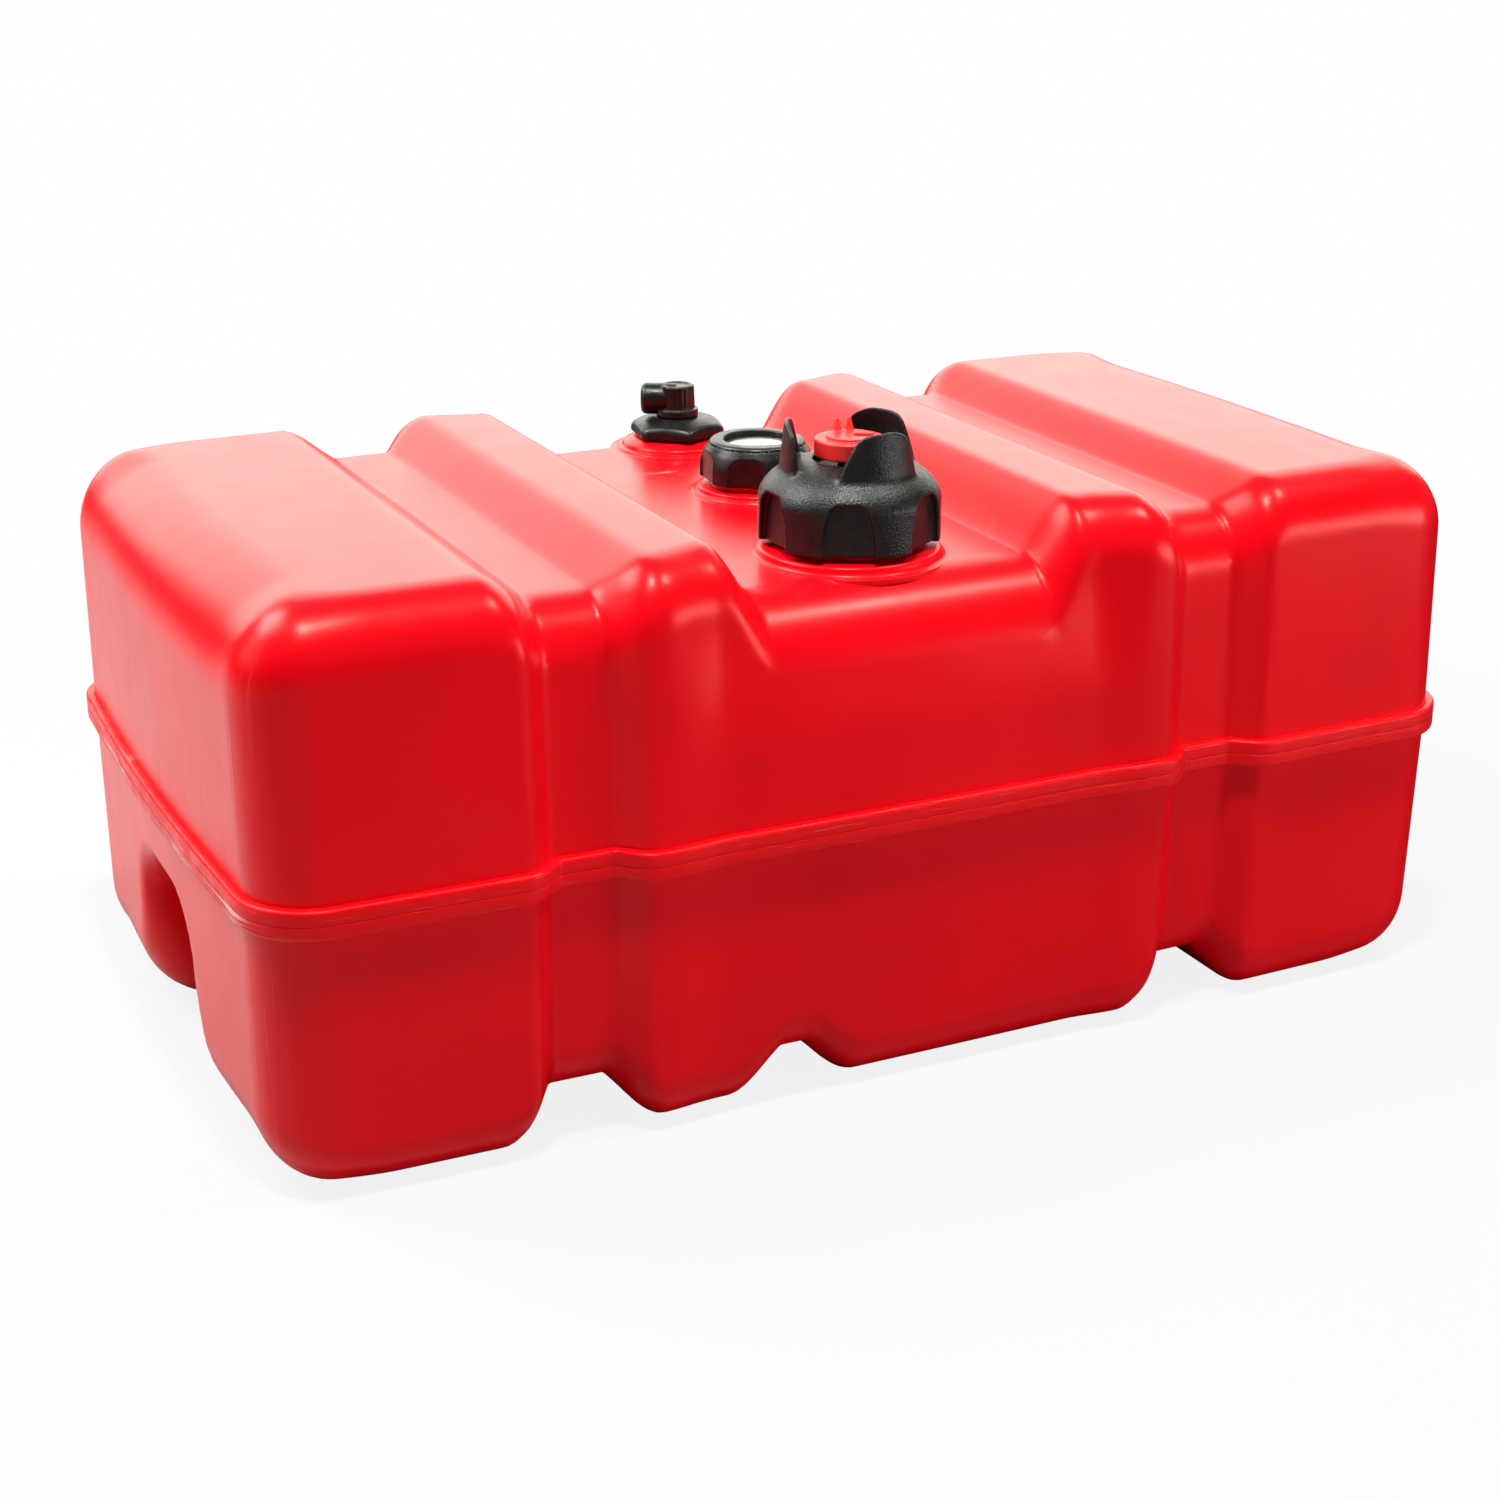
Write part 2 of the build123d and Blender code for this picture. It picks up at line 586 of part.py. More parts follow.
def guard_fin():
    """One curved guard fin on the +X side: a leaning shell with a gentle and a steep flank."""
    low = CAP_CROWN_HEIGHT - FIN_ROOT
    rise = FIN_TOP - low
    half = FIN_SPAN / 2
    tip_radius = FIN_BASE_RADIUS - FIN_LEAN
    shell = turned((FIN_BASE_RADIUS - FIN_THICKNESS, low), (FIN_BASE_RADIUS, low), (tip_radius, FIN_TOP),
                   (tip_radius - FIN_TIP_THICKNESS, FIN_TOP))

    def at(side_share, height_share):
        return (0, side_share * half, low + height_share * rise)

    gentle = Spline(at(-1.0, 0), at(-0.87, 0.34), at(-0.66, 0.74), at(-0.35, 0.95), at(0.1, 1),
                    tangents=((0, 0.25, 1), (0, 1, 0)))
    steep = Spline(at(0.1, 1), at(0.62, 0.9), at(0.82, 0.62), at(0.95, 0.25), at(1.0, 0),
                   tangents=((0, 1, 0), (0, 0.1, -1)))
    blade = extrude(make_face([gentle, steep, Line(at(1.0, 0), at(-1.0, 0))]), FIN_BASE_RADIUS + FIN_LEAN,
                    dir=(1, 0, 0))
    return shell & blade


def filler_cap():
    cap = cap_body() - cap_grips()
    cap = cap + around(FIN_COUNT, FIN_ANGLE, guard_fin())
    return on_deck(FILLER, cap)


def cap_core():
    """Threaded inner cup that seals on the neck."""
    return on_deck(FILLER, turned(
        (CORE_BORE, CAP_BOTTOM + 0.6), (CORE_RADIUS, CAP_BOTTOM + 0.6),
        (CORE_RADIUS, CORE_TOP_FACE - CORE_CHAMFER), (CORE_RADIUS - CORE_CHAMFER, CORE_TOP_FACE),
        (VENT_HOLE, CORE_TOP_FACE), (VENT_HOLE, CORE_BOTTOM_FACE), (CORE_BORE, CORE_BOTTOM_FACE)))


def washer(inner, outer, bottom, top):
    return turned((inner, bottom), (outer, bottom), (outer, top), (inner, top))


def cap_gasket():
    return on_deck(FILLER, washer(FILLER_BORE + SNAP, FILLER_NECK, FILLER_NECK_TOP, CORE_BOTTOM_FACE))


def prong():
    """Tapered finger that stands on the button."""
    base = Pos(0, 0, BUTTON_TOP) * Rectangle(PRONG_BASE, PRONG_BASE)
    tip = Pos(0, 0, BUTTON_TOP + PRONG_HEIGHT) * Rectangle(PRONG_TIP, PRONG_TIP)
    return loft([base, tip])


def vent_button():
    """Release button: skirted disc, raised middle with a key slot, two prongs and the stem."""
    ceiling = BUTTON_TOP - BUTTON_SKIN
    inner = BUTTON_RADIUS - BUTTON_SKIN
    tip_top = CORE_BOTTOM_FACE - VENT_SEAL_THICKNESS
    button = turned((0, BUTTON_TOP), (BUTTON_RADIUS, BUTTON_TOP), (BUTTON_RADIUS, BUTTON_BOTTOM),
                    (inner, BUTTON_BOTTOM), (inner, ceiling), (BUTTON_STEM, ceiling),
                    (BUTTON_STEM, tip_top), (BUTTON_TIP, tip_top),
                    (BUTTON_TIP, tip_top - BUTTON_TIP_LENGTH), (0, tip_top - BUTTON_TIP_LENGTH))
    button = round_edges(button, 0.8, (BUTTON_RADIUS, BUTTON_TOP))
    disc_top = BUTTON_TOP + BUTTON_DISC_HEIGHT
    disc = cylinder(BUTTON_DISC_RADIUS, BUTTON_TOP - 0.5, disc_top)
    key = Pos(BUTTON_DISC_RADIUS, 0, disc_top) * Box(BUTTON_DISC_RADIUS, BUTTON_KEY_WIDTH, BUTTON_KEY_DEPTH)
    prongs = [Pos(PRONG_OFFSET, side * PRONG_SPACING / 2, 0) * prong() for side in (-1, 1)]
    top = Rot(0, 0, PRONG_ANGLE) * (disc + prongs)
    return on_deck(FILLER, button + top - Rot(0, 0, BUTTON_KEY_ANGLE) * key)


def vent_spring():
    """Coil between the well's floor and the button's underside, round the stem."""
    gap = VENT_SPRING_WIRE + REST_GAP * 2
    bottom, top = WELL_FLOOR + gap, BUTTON_TOP - BUTTON_SKIN - gap
    path = Pos(0, 0, bottom) * Helix((top - bottom) / VENT_SPRING_TURNS, top - bottom, VENT_SPRING_RADIUS)
    start = Plane(origin=path @ 0, z_dir=path % 0)
    return on_deck(FILLER, sweep(start * Circle(VENT_SPRING_WIRE), path=path))


def vent_seal():
    return on_deck(FILLER, washer(BUTTON_STEM, VENT_SEAL_RADIUS, CORE_BOTTOM_FACE - VENT_SEAL_THICKNESS,
                                  CORE_BOTTOM_FACE))


def vent_push_nut():
    top = CORE_BOTTOM_FACE - VENT_SEAL_THICKNESS
    return on_deck(FILLER, washer(BUTTON_TIP, PUSH_NUT_RADIUS, top - PUSH_NUT_THICKNESS, top))


# Float gauge

def gauge_ring():
    """Hand nut with grip recesses, a sloping shoulder and a raised rim round its window."""
    slope_end = RING_RIM_RADIUS + RING_RIM_LEDGE
    inner_top = WINDOW_CUP_RADIUS + THREAD_CLEARANCE
    ring = turned(
        (RING_BORE, RING_BOTTOM), (RING_RADIUS, RING_BOTTOM), (RING_RADIUS, RING_SHOULDER),
        (slope_end, RING_CEILING), (RING_RIM_RADIUS, RING_CEILING), (RING_RIM_RADIUS, RING_TOP),
        (RING_WINDOW, RING_TOP), (RING_WINDOW, RING_CEILING), (inner_top, RING_CEILING),
        (inner_top, FLANGE_TOP + LOOSE), (RING_BORE, FLANGE_TOP + LOOSE))
    ring = round_edges(ring, RING_EDGE, (RING_RIM_RADIUS, RING_TOP), (RING_WINDOW, RING_TOP))
    recess = grip(RING_GRIP_WIDTH, RING_GRIP_TOP_WIDTH, RING_BOTTOM - 1, RING_GRIP_TOP - RING_GRIP_BEVEL,
                  RING_GRIP_TOP, RING_RADIUS - RING_GRIP_DEPTH, RING_GRIP_DEPTH + GRIP_PAST)
    return on_deck(GAUGE, ring - around(RING_GRIPS, RING_GRIP_ANGLE, recess))


def lens_seal():
    return on_deck(GAUGE, washer(RING_WINDOW + 0.4, WINDOW_CUP_RADIUS - SNAP, LENS_TOP, RING_CEILING))


def gauge_lens():
    """Clear window, slightly crowned inside the rim."""
    crown = RING_WINDOW - LOOSE
    ball = (crown ** 2 + LENS_CROWN ** 2) / (2 * LENS_CROWN)
    dome = cylinder(crown, GAUGE_CUP_RIM, RING_TOP) & Pos(0, 0, LENS_TOP + LENS_CROWN - ball) * Sphere(ball)
    return on_deck(GAUGE, cylinder(WINDOW_CUP_RADIUS - SNAP, GAUGE_CUP_RIM, LENS_TOP) + dome)


def gauge_dial():
    return on_deck(GAUGE, washer(SPINDLE_RADIUS + LOOSE, WINDOW_CUP_RADIUS - GAUGE_CUP_WALL - SNAP,
                                 DIAL_SEAT, DIAL_SEAT + DIAL_THICKNESS))


def gauge_pointer():
    """Needle on the top of the spindle."""
    hub = cylinder(POINTER_HUB, SPINDLE_TOP, SPINDLE_TOP + 1.2)
    needle = Polyline((0, -1.3, 0), (POINTER_LENGTH, -0.3, 0), (POINTER_LENGTH, 0.3, 0), (0, 1.3, 0),
                      (-POINTER_LENGTH / 3, 0.9, 0), (-POINTER_LENGTH / 3, -0.9, 0), close=True)
    blade = Pos(0, 0, SPINDLE_TOP) * extrude(make_face(needle), POINTER_THICKNESS)
    return on_deck(GAUGE, Rot(0, 0, 200) * (hub + blade))


def gauge_head():
    """Flanged cup in the neck: it carries the dial, the window, the rods and the spindle."""
    inner = WINDOW_CUP_RADIUS - GAUGE_CUP_WALL
    drum_inner = CUP_RADIUS - GAUGE_CUP_WALL
    floor_top = GAUGE_CUP_BOTTOM + GAUGE_CUP_FLOOR
    return on_deck(GAUGE, turned(
        (SPINDLE_RADIUS + RUNNING, GAUGE_CUP_BOTTOM), (CUP_RADIUS, GAUGE_CUP_BOTTOM),
        (CUP_RADIUS, FLANGE_BOTTOM), (HEAD_RADIUS, FLANGE_BOTTOM), (HEAD_RADIUS, FLANGE_TOP),
        (WINDOW_CUP_RADIUS, FLANGE_TOP), (WINDOW_CUP_RADIUS, GAUGE_CUP_RIM), (inner, GAUGE_CUP_RIM),
        (inner, DIAL_SEAT), (drum_inner, DIAL_SEAT), (drum_inner, floor_top),
        (SPINDLE_RADIUS + RUNNING, floor_top)))


def gauge_gasket():
    return on_deck(GAUGE, washer(GAUGE_BORE, HEAD_RADIUS, GAUGE_NECK_TOP, FLANGE_BOTTOM))


def guide_rods():
    """Two rods from the gauge head down through the foot plate."""
    top = DECK + GAUGE_CUP_BOTTOM
    return Compound([cylinder(ROD_RADIUS, FOOT_BOTTOM - 1.5, top, GAUGE[0] + side * ROD_OFFSET, GAUGE[1])
                     for side in (-1, 1)])


def gauge_foot():
    """Plate at the rods' lower end, with the spindle's lower bearing."""
    plate = cylinder(FOOT_RADIUS, FOOT_BOTTOM, FOOT_TOP, *GAUGE)
    holes = [cylinder(ROD_RADIUS + RUNNING, FOOT_BOTTOM - 1, FOOT_TOP + 1, GAUGE[0] + side * ROD_OFFSET,
                      GAUGE[1]) for side in (-1, 1)]
    bearing = cylinder(PIVOT_RADIUS + RUNNING, FOOT_BOTTOM - 1, FOOT_TOP, *GAUGE)
    well = cylinder(STRIP_WIDTH / 2 + 2 * LOOSE, FOOT_TOP - FOOT_WELL, FOOT_TOP + 1, *GAUGE)
    return plate - holes - bearing - well


def strip_angle(height):
    """Which way the strip's face is turned at a height above the ground, in degrees."""
    return (height - STRIP_BOTTOM) * STRIP_RATE


def twisted_strip():
    """Spindle: a twisted strip with a pivot below and a journal above."""
    count = round((STRIP_TOP - STRIP_BOTTOM) * STRIP_RATE / STRIP_STEP)
    levels = [STRIP_BOTTOM + (STRIP_TOP - STRIP_BOTTOM) * k / count for k in range(count + 1)]
    sections = [(Pos(0, 0, level) * Rot(0, 0, strip_angle(level))
                 * Rectangle(STRIP_WIDTH, STRIP_THICKNESS)).wire() for level in levels]
    strip = Solid.make_loft(sections, ruled=True)
    pivot = cylinder(PIVOT_RADIUS, FOOT_BOTTOM, FOOT_TOP - REST_GAP)
    journal = cylinder(SPINDLE_RADIUS, STRIP_TOP - 1.0, DECK + SPINDLE_TOP)
    return Pos(GAUGE[0], GAUGE[1], 0) * (strip + pivot + journal)


def gauge_float():
    """Float with holes for the rods and, at its foot, the slot that turns the strip."""
    top = FOOT_TOP + FLOAT_HEIGHT
    body = cylinder(FLOAT_RADIUS, FOOT_TOP, top)
    body = round_edges(body, 2.0, (FLOAT_RADIUS, FOOT_TOP), (FLOAT_RADIUS, top))
    rods = [cylinder(ROD_RADIUS + LOOSE, FOOT_TOP - 1, top + 1, side * ROD_OFFSET) for side in (-1, 1)]
    bore = cylinder(FLOAT_BORE, FOOT_TOP + SLOT_PLATE, top + 1)
    middle = FOOT_TOP + SLOT_PLATE / 2
    slot = (Pos(0, 0, middle) * Rot(0, 0, strip_angle(middle))
            * Box(STRIP_WIDTH + 2 * SLOT_CLEARANCE, STRIP_THICKNESS + 2 * SLOT_CLEARANCE, 2 * SLOT_PLATE))
    return Pos(GAUGE[0], GAUGE[1], 0) * (body - rods - bore - slot)


# Fuel pickup

def pickup_nut():
    """Hexagonal nut with rounded corners and a crowned top."""
    hexagon = RegularPolygon(NUT_CIRCUMRADIUS, 6, rotation=NUT_CORNER_ANGLE)
    hexagon = fillet(hexagon.vertices(), NUT_CORNER_RADIUS)
    prism = Pos(0, 0, NUT_BOTTOM) * extrude(hexagon, NUT_TOP - NUT_BOTTOM)
    middle = ((NUT_CIRCUMRADIUS + NUT_FLAT) / 2, 0, NUT_TOP - NUT_CROWN_DROP / 2 + NUT_CROWN_SWELL)
    corner = (NUT_CIRCUMRADIUS, 0, NUT_TOP - NUT_CROWN_DROP)
    crown = make_face([
        Polyline((NUT_FLAT, 0, NUT_TOP), (0, 0, NUT_TOP), (0, 0, NUT_BOTTOM),
                 (NUT_CIRCUMRADIUS, 0, NUT_BOTTOM), corner),
        ThreePointArc(corner, middle, (NUT_FLAT, 0, NUT_TOP))])
    nut = prism & revolve(crown, Axis.Z, 360)
    thread = cylinder(PICKUP_NECK + THREAD_CLEARANCE, NUT_BOTTOM - 1, STEM_FLANGE_TOP)
    return on_deck(PICKUP, nut - thread - cylinder(STEM_HUB + LOOSE, NUT_BOTTOM, NUT_TOP + 1))


def pickup_gasket():
    return on_deck(PICKUP, washer(PICKUP_BORE, PICKUP_NECK - SNAP, PICKUP_NECK_TOP, STEM_FLANGE_BOTTOM))


def pickup_stem():
    """Flanged socket that the nut clamps, with the barb that the dip tube pushes over."""
    snap_top = STEM_SOCKET_BOTTOM + STEM_SNAP_HEIGHT
    outer = STEM_SOCKET + STEM_SNAP_DEPTH
    return on_deck(PICKUP, turned(
        (FLOW_RADIUS, -BARB_LENGTH), (TUBE_BORE, -BARB_LENGTH), (TUBE_BORE, 0), (STEM_BODY, 0),
        (STEM_BODY, STEM_FLANGE_BOTTOM), (PICKUP_NECK - SNAP, STEM_FLANGE_BOTTOM),
        (PICKUP_NECK - SNAP, STEM_FLANGE_TOP), (STEM_HUB, STEM_FLANGE_TOP), (STEM_HUB, STEM_HUB_TOP),
        (STEM_SOCKET, STEM_HUB_TOP), (STEM_SOCKET, snap_top), (outer, snap_top),
        (outer, STEM_SOCKET_BOTTOM), (FLOW_RADIUS, STEM_SOCKET_BOTTOM)))


def pickup_elbow():
    """Swivelling elbow: spigot, collar, fluted upright and the threaded side port."""
    snap_bottom = SPIGOT_BOTTOM + REST_GAP
    snap_top = STEM_SOCKET_BOTTOM + STEM_SNAP_HEIGHT - REST_GAP * 2
    lip = SPIGOT_RADIUS + STEM_SNAP_DEPTH * 0.6
    groove = SPIGOT_RADIUS - 2 * O_RING_SECTION - RUNNING
    half_groove = O_RING_SECTION + REST_GAP
    upright = turned(
        (0, snap_bottom), (lip, snap_bottom), (lip, snap_top), (SPIGOT_RADIUS, snap_top),
        (SPIGOT_RADIUS, O_RING_HEIGHT - half_groove), (groove, O_RING_HEIGHT - half_groove),
        (groove, O_RING_HEIGHT + half_groove), (SPIGOT_RADIUS, O_RING_HEIGHT + half_groove),
        (SPIGOT_RADIUS, COLLAR_BOTTOM), (COLLAR_RADIUS - COLLAR_BEVEL, COLLAR_BOTTOM),
        (COLLAR_RADIUS, COLLAR_BOTTOM + COLLAR_BEVEL), (COLLAR_RADIUS, COLLAR_TOP - COLLAR_BEVEL),
        (COLLAR_RADIUS - COLLAR_BEVEL, COLLAR_TOP), (ELBOW_RADIUS, COLLAR_TOP),
        (ELBOW_TOP_RADIUS, ELBOW_TOP - ELBOW_TOP_BEVEL), (ELBOW_TOP_RADIUS - ELBOW_TOP_BEVEL, ELBOW_TOP),
        (0, ELBOW_TOP))
    flute = cylinder(ELBOW_FLUTE_RADIUS, COLLAR_TOP + COLLAR_BEVEL, ELBOW_TOP - 2 * ELBOW_TOP_BEVEL,
                     ELBOW_RADIUS + ELBOW_FLUTE_RADIUS - ELBOW_FLUTE_DEPTH)
    upright = upright - around(ELBOW_FLUTES, 0, flute)
    recess = ELBOW_TOP_RADIUS - 2 * ELBOW_TOP_BEVEL
    upright = upright - cylinder(recess, ELBOW_TOP - ELBOW_TOP_RECESS, ELBOW_TOP + 1)
    port = Rot(0, 90, 0) * cylinder(PORT_RADIUS, 0, PORT_REACH)
    end = [edge for edge in port.edges().filter_by(GeomType.CIRCLE) if edge.arc_center.X > PORT_REACH / 2]
    port = Pos(0, 0, PORT_AXIS) * fillet(end, PORT_END_RADIUS)
    thread = Pos(0, 0, PORT_AXIS) * Rot(0, 90, 0) * cylinder(PORT_THREAD, PORT_REACH - PORT_THREAD_LENGTH,
                                                             PORT_REACH + 1)
    across = Pos(0, 0, PORT_AXIS) * Rot(0, 90, 0) * cylinder(FLOW_RADIUS, 0, PORT_REACH)
    down = cylinder(FLOW_RADIUS, SPIGOT_BOTTOM - 1, PORT_AXIS)
    return on_deck(PICKUP, Rot(0, 0, PORT_ANGLE) * (upright + port - thread - across - down))


def pickup_o_ring():
    ring = SPIGOT_RADIUS - O_RING_SECTION
    return on_deck(PICKUP, Pos(0, 0, O_RING_HEIGHT) * Torus(ring, O_RING_SECTION))


def dip_tube():
    return Pos(PICKUP[0], PICKUP[1], 0) * washer(TUBE_BORE, TUBE_RADIUS, TUBE_END, DECK + TUBE_TOP)


def strainer():
    """Screen cup pushed over the tube's lower end."""
    outer = TUBE_RADIUS + 2 * STRAINER_WALL
    inner = TUBE_RADIUS + STRAINER_WALL
    floor = STRAINER_BOTTOM + STRAINER_WALL
    cup = turned((0, STRAINER_BOTTOM), (outer, STRAINER_BOTTOM), (outer, STRAINER_TOP),
                 (TUBE_RADIUS, STRAINER_TOP), (TUBE_RADIUS, TUBE_END), (inner, TUBE_END),
                 (inner, floor), (0, floor))
    height = TUBE_END - floor - 2.0
    window = Pos(outer, 0, floor + 1.0 + height / 2) * Box(6, STRAINER_WINDOW_WIDTH, height)
    return Pos(PICKUP[0], PICKUP[1], 0) * (cup - around(STRAINER_WINDOWS, 0, window))


PIECES = (
    tank_shell, filler_cap, cap_core, cap_gasket, vent_button, vent_spring, vent_seal, vent_push_nut,
    gauge_ring, lens_seal, gauge_lens, gauge_dial, gauge_pointer, gauge_head, gauge_gasket, guide_rods,
    gauge_foot, twisted_strip, gauge_float, pickup_nut, pickup_gasket, pickup_stem, pickup_elbow,
    pickup_o_ring, dip_tube, strainer,
)


def main():
    os.makedirs("parts", exist_ok=True)
    for piece in PIECES:
        export_step(piece(), f"parts/{piece.__name__}.step")


if __name__ == "__main__":
    main()
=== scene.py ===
from math import cos, pi, radians, sin, tan

import bpy
import numpy as np
from mathutils import Matrix, Vector

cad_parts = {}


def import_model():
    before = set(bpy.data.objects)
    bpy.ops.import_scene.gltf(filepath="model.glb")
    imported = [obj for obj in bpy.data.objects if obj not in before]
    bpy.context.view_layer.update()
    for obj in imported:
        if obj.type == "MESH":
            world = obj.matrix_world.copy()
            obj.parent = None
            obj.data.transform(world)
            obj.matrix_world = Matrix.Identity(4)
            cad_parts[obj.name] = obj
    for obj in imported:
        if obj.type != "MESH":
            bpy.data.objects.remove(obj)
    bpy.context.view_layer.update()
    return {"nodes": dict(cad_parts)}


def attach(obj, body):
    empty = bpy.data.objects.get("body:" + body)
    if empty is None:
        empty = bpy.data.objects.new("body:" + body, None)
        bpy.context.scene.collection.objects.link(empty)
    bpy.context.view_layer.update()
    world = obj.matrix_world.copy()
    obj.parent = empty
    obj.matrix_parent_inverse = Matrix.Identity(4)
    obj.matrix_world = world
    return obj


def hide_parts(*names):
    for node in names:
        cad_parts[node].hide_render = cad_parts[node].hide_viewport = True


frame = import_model()

# Shapes are worked out in millimetres, in the part's own frame, and become metres in drawn().
# Names that end in _STEP are mesh spacings, and those in _EDGE or _FILLET are radii.
MM = 0.001

# Tank body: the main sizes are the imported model's, the finer ones come from the photo
BODY_LENGTH = 635.0
BODY_WIDTH = 354.5
BODY_HEIGHT = 272.0
WALL = 4.5
SIDE_BOW = 3.7
END_BOW = 4.5
END_BOW_POWER = 4            # how suddenly the end's bow levels off towards its corners
DRAFT = tan(radians(1.8))
CORNER_RADIUS = 32.0
END_EDGE_RADIUS = 43.0
TOP_EDGE_RADIUS = 28.0
DECK_EDGE_RADIUS = 33.0
BOTTOM_EDGE_RADIUS = 26.0
BASE_FLAT_DEPTH = 0.6
EDGE_BLEND = 60.0            # reach over which the end's edge radius passes into the side's
CAVITY_STEP = 9.0
BODY_STEP = 3.3
FOOT_TIGHTNESS = 0.45        # how suddenly the slopes of the deck and the grooves begin at their feet

# Parting belt
BELT_MIDDLE = 137.5
BELT_THICKNESS = 14.0
BELT_PROUD = 4.4
BELT_ROOT = 3.0
BELT_EDGE = 1.8
PARTING_LINE_WIDTH = 0.8
PARTING_LINE_FLOOR = 0.4     # share of the line's width that is its floor
PARTING_LINE_DEPTH = 0.25
PARTING_LINE_EDGE = 0.3
BELT_STEP = 3.0
OUTLINE_RAYS = 1600          # rays and halvings that find the body's outline under the belt
OUTLINE_HALVINGS = 40

# Strap grooves and sunk deck
GROOVE_X = 165.0
GROOVE_FLOOR = 30.0
GROOVE_SIDE_MOUTH = 60.0
GROOVE_TOP_MOUTH = 80.0
GROOVE_SIDE_DEPTH = 11.5
GROOVE_TOP_DEPTH = 15.0
GROOVE_BOTTOM_DEPTH = 22.0
DECK_FLAT = 147.0
DECK_MOUTH = 192.0
DECK_DEPTH = 26.0
DECK = BODY_HEIGHT - DECK_DEPTH

# Panel between the grooves: a little sunk into the side, and more towards the deck
PANEL_FLAT = 190.0
PANEL_MOUTH = 256.0
PANEL_DEPTH = 3.0
PANEL_TOP_DEPTH = 5.5
PANEL_BEND = 180.0

# Hand-hold pockets and drain channel
POCKET_WIDTH = 92.0
POCKET_HEIGHT = 98.0
POCKET_DEPTH = 42.0
POCKET_ARCH_RADIUS = 30.0
POCKET_INNER_RADIUS = 12.0
POCKET_MOUTH_RADIUS = 9.0
POCKET_FOOT_RADIUS = 24.0
POCKET_FOOT_LOW = 20.0       # the foot's radius holds up to here, and the mouth's from the next height on
POCKET_FOOT_HIGH = 70.0
CHANNEL_X = -58.0
CHANNEL_FLOOR = 14.0
CHANNEL_MOUTH = 68.0
CHANNEL_DEPTH = 21.0

# Fittings on the deck: heights are above the deck
FILLER = (-0.8, -100.75)
GAUGE = (10.0, 22.0)
PICKUP = (12.0, 127.05)
BORE_ROOM = 2.5              # the body's own hole is wider than the neck's bore
BORE_REACH = 18.0            # and runs down this far below the deck

# The field of a slanted plane is scaled to be about a distance: here for 45 degrees, and each scale below
# for its own slant
CHAMFER_SCALE = 0.7

# Filler cap
CAP_RADIUS = 43.4
CAP_BOTTOM = 7.5
CAP_BOTTOM_EDGE = 1.0
CAP_SHOULDER = 28.0
CAP_TOP = 46.4
CAP_SIDE_POWER = 3.0
CAP_DOME_POWER = 1.6
CAP_INNER_RADIUS = 37.0
CAP_INNER_TOP = 35.5
CAP_INNER_CHAMFER = 4.5
CAP_HOLLOW_INNER = 8.0       # ring-shaped hollow below the well
CAP_HOLLOW_OUTER = 23.0
CAP_HOLLOW_TOP = 39.1
CAP_GRIPS = {
    "count": 6, "angle": 2.0, "width": 24.6, "depth": 4.9, "top": 32.4, "knee": 20.5, "slant": 0.40,
    "scale": 0.9, "corner": 3.0, "top_edge": 3.0, "back_edge": 1.2,
}
CAP_GRIP_EDGE = 1.1
CAP_STEP = 0.85
WELL_RADIUS = 17.6
WELL_FLOOR = 42.1
WELL_EDGE = 0.7
STEM_HOLE = 5.0
FIN_COUNT = 3
FIN_ANGLE = 31.0
FIN_RADIUS = 33.9
FIN_LEAN = 2.5
FIN_FOOT = 37.0
FIN_TOP = 63.3
FIN_THICKNESS = 2.6
FIN_TIP_THICKNESS = 1.9
FIN_BLEND = 2.2
FIN_OUTLINE = (              # across the fin and height, from its gentle side to its steep side
    (-20.8, 36.0), (-20.3, 41.0), (-17.6, 48.3), (-13.6, 56.6), (-11.2, 60.2), (-7.2, 62.5), (1.8, 63.3),
    (7.8, 62.8), (12.8, 60.8), (15.8, 57.7), (18.5, 50.6), (20.4, 42.8), (21.0, 36.0))
CURVE_STEPS = 6              # steps from each of the outline's points to the next

# Release button: disc with a raised middle, a ribbed notch and two prongs
BUTTON_RADIUS = 17.0
BUTTON_BOTTOM = 47.0
BUTTON_TOP = 55.2
BUTTON_TOP_EDGE = 0.9
BUTTON_BOTTOM_EDGE = 0.6
BUTTON_SKIN = 2.0
RAISED_RADIUS = 11.5
RAISED_HEIGHT = 1.4
RAISED_EDGE = 0.35
RAISED_ROOT_EDGE = 0.1
RAISED_FILLET = 0.25
STEM_RADIUS = 4.0
STEM_TIP_RADIUS = 3.0
STEM_TIP_TOP = 30.2
STEM_TIP_BOTTOM = 24.2
NOTCH_WIDTH = 6.5
NOTCH_DEPTH = 0.8
NOTCH_ANGLE = -30.0
NOTCH_START = 1.5
NOTCH_END = 14.0
NOTCH_EDGE = 0.3
NOTCH_RIB_PITCH = 2.4
NOTCH_RIB_HEIGHT = 0.45
PRONG_BASE = 4.6
PRONG_TIP = 1.2
PRONG_HEIGHT = 7.6
PRONG_ROOT = 1.0             # how far the prongs reach down into the disc
PRONG_SPACING = 6.0
PRONG_OFFSET = 9.0
PRONG_ANGLE = 85.0
PRONG_TIP_EDGE = 0.5
PRONG_FILLET = 0.5
BUTTON_STEP = 0.45

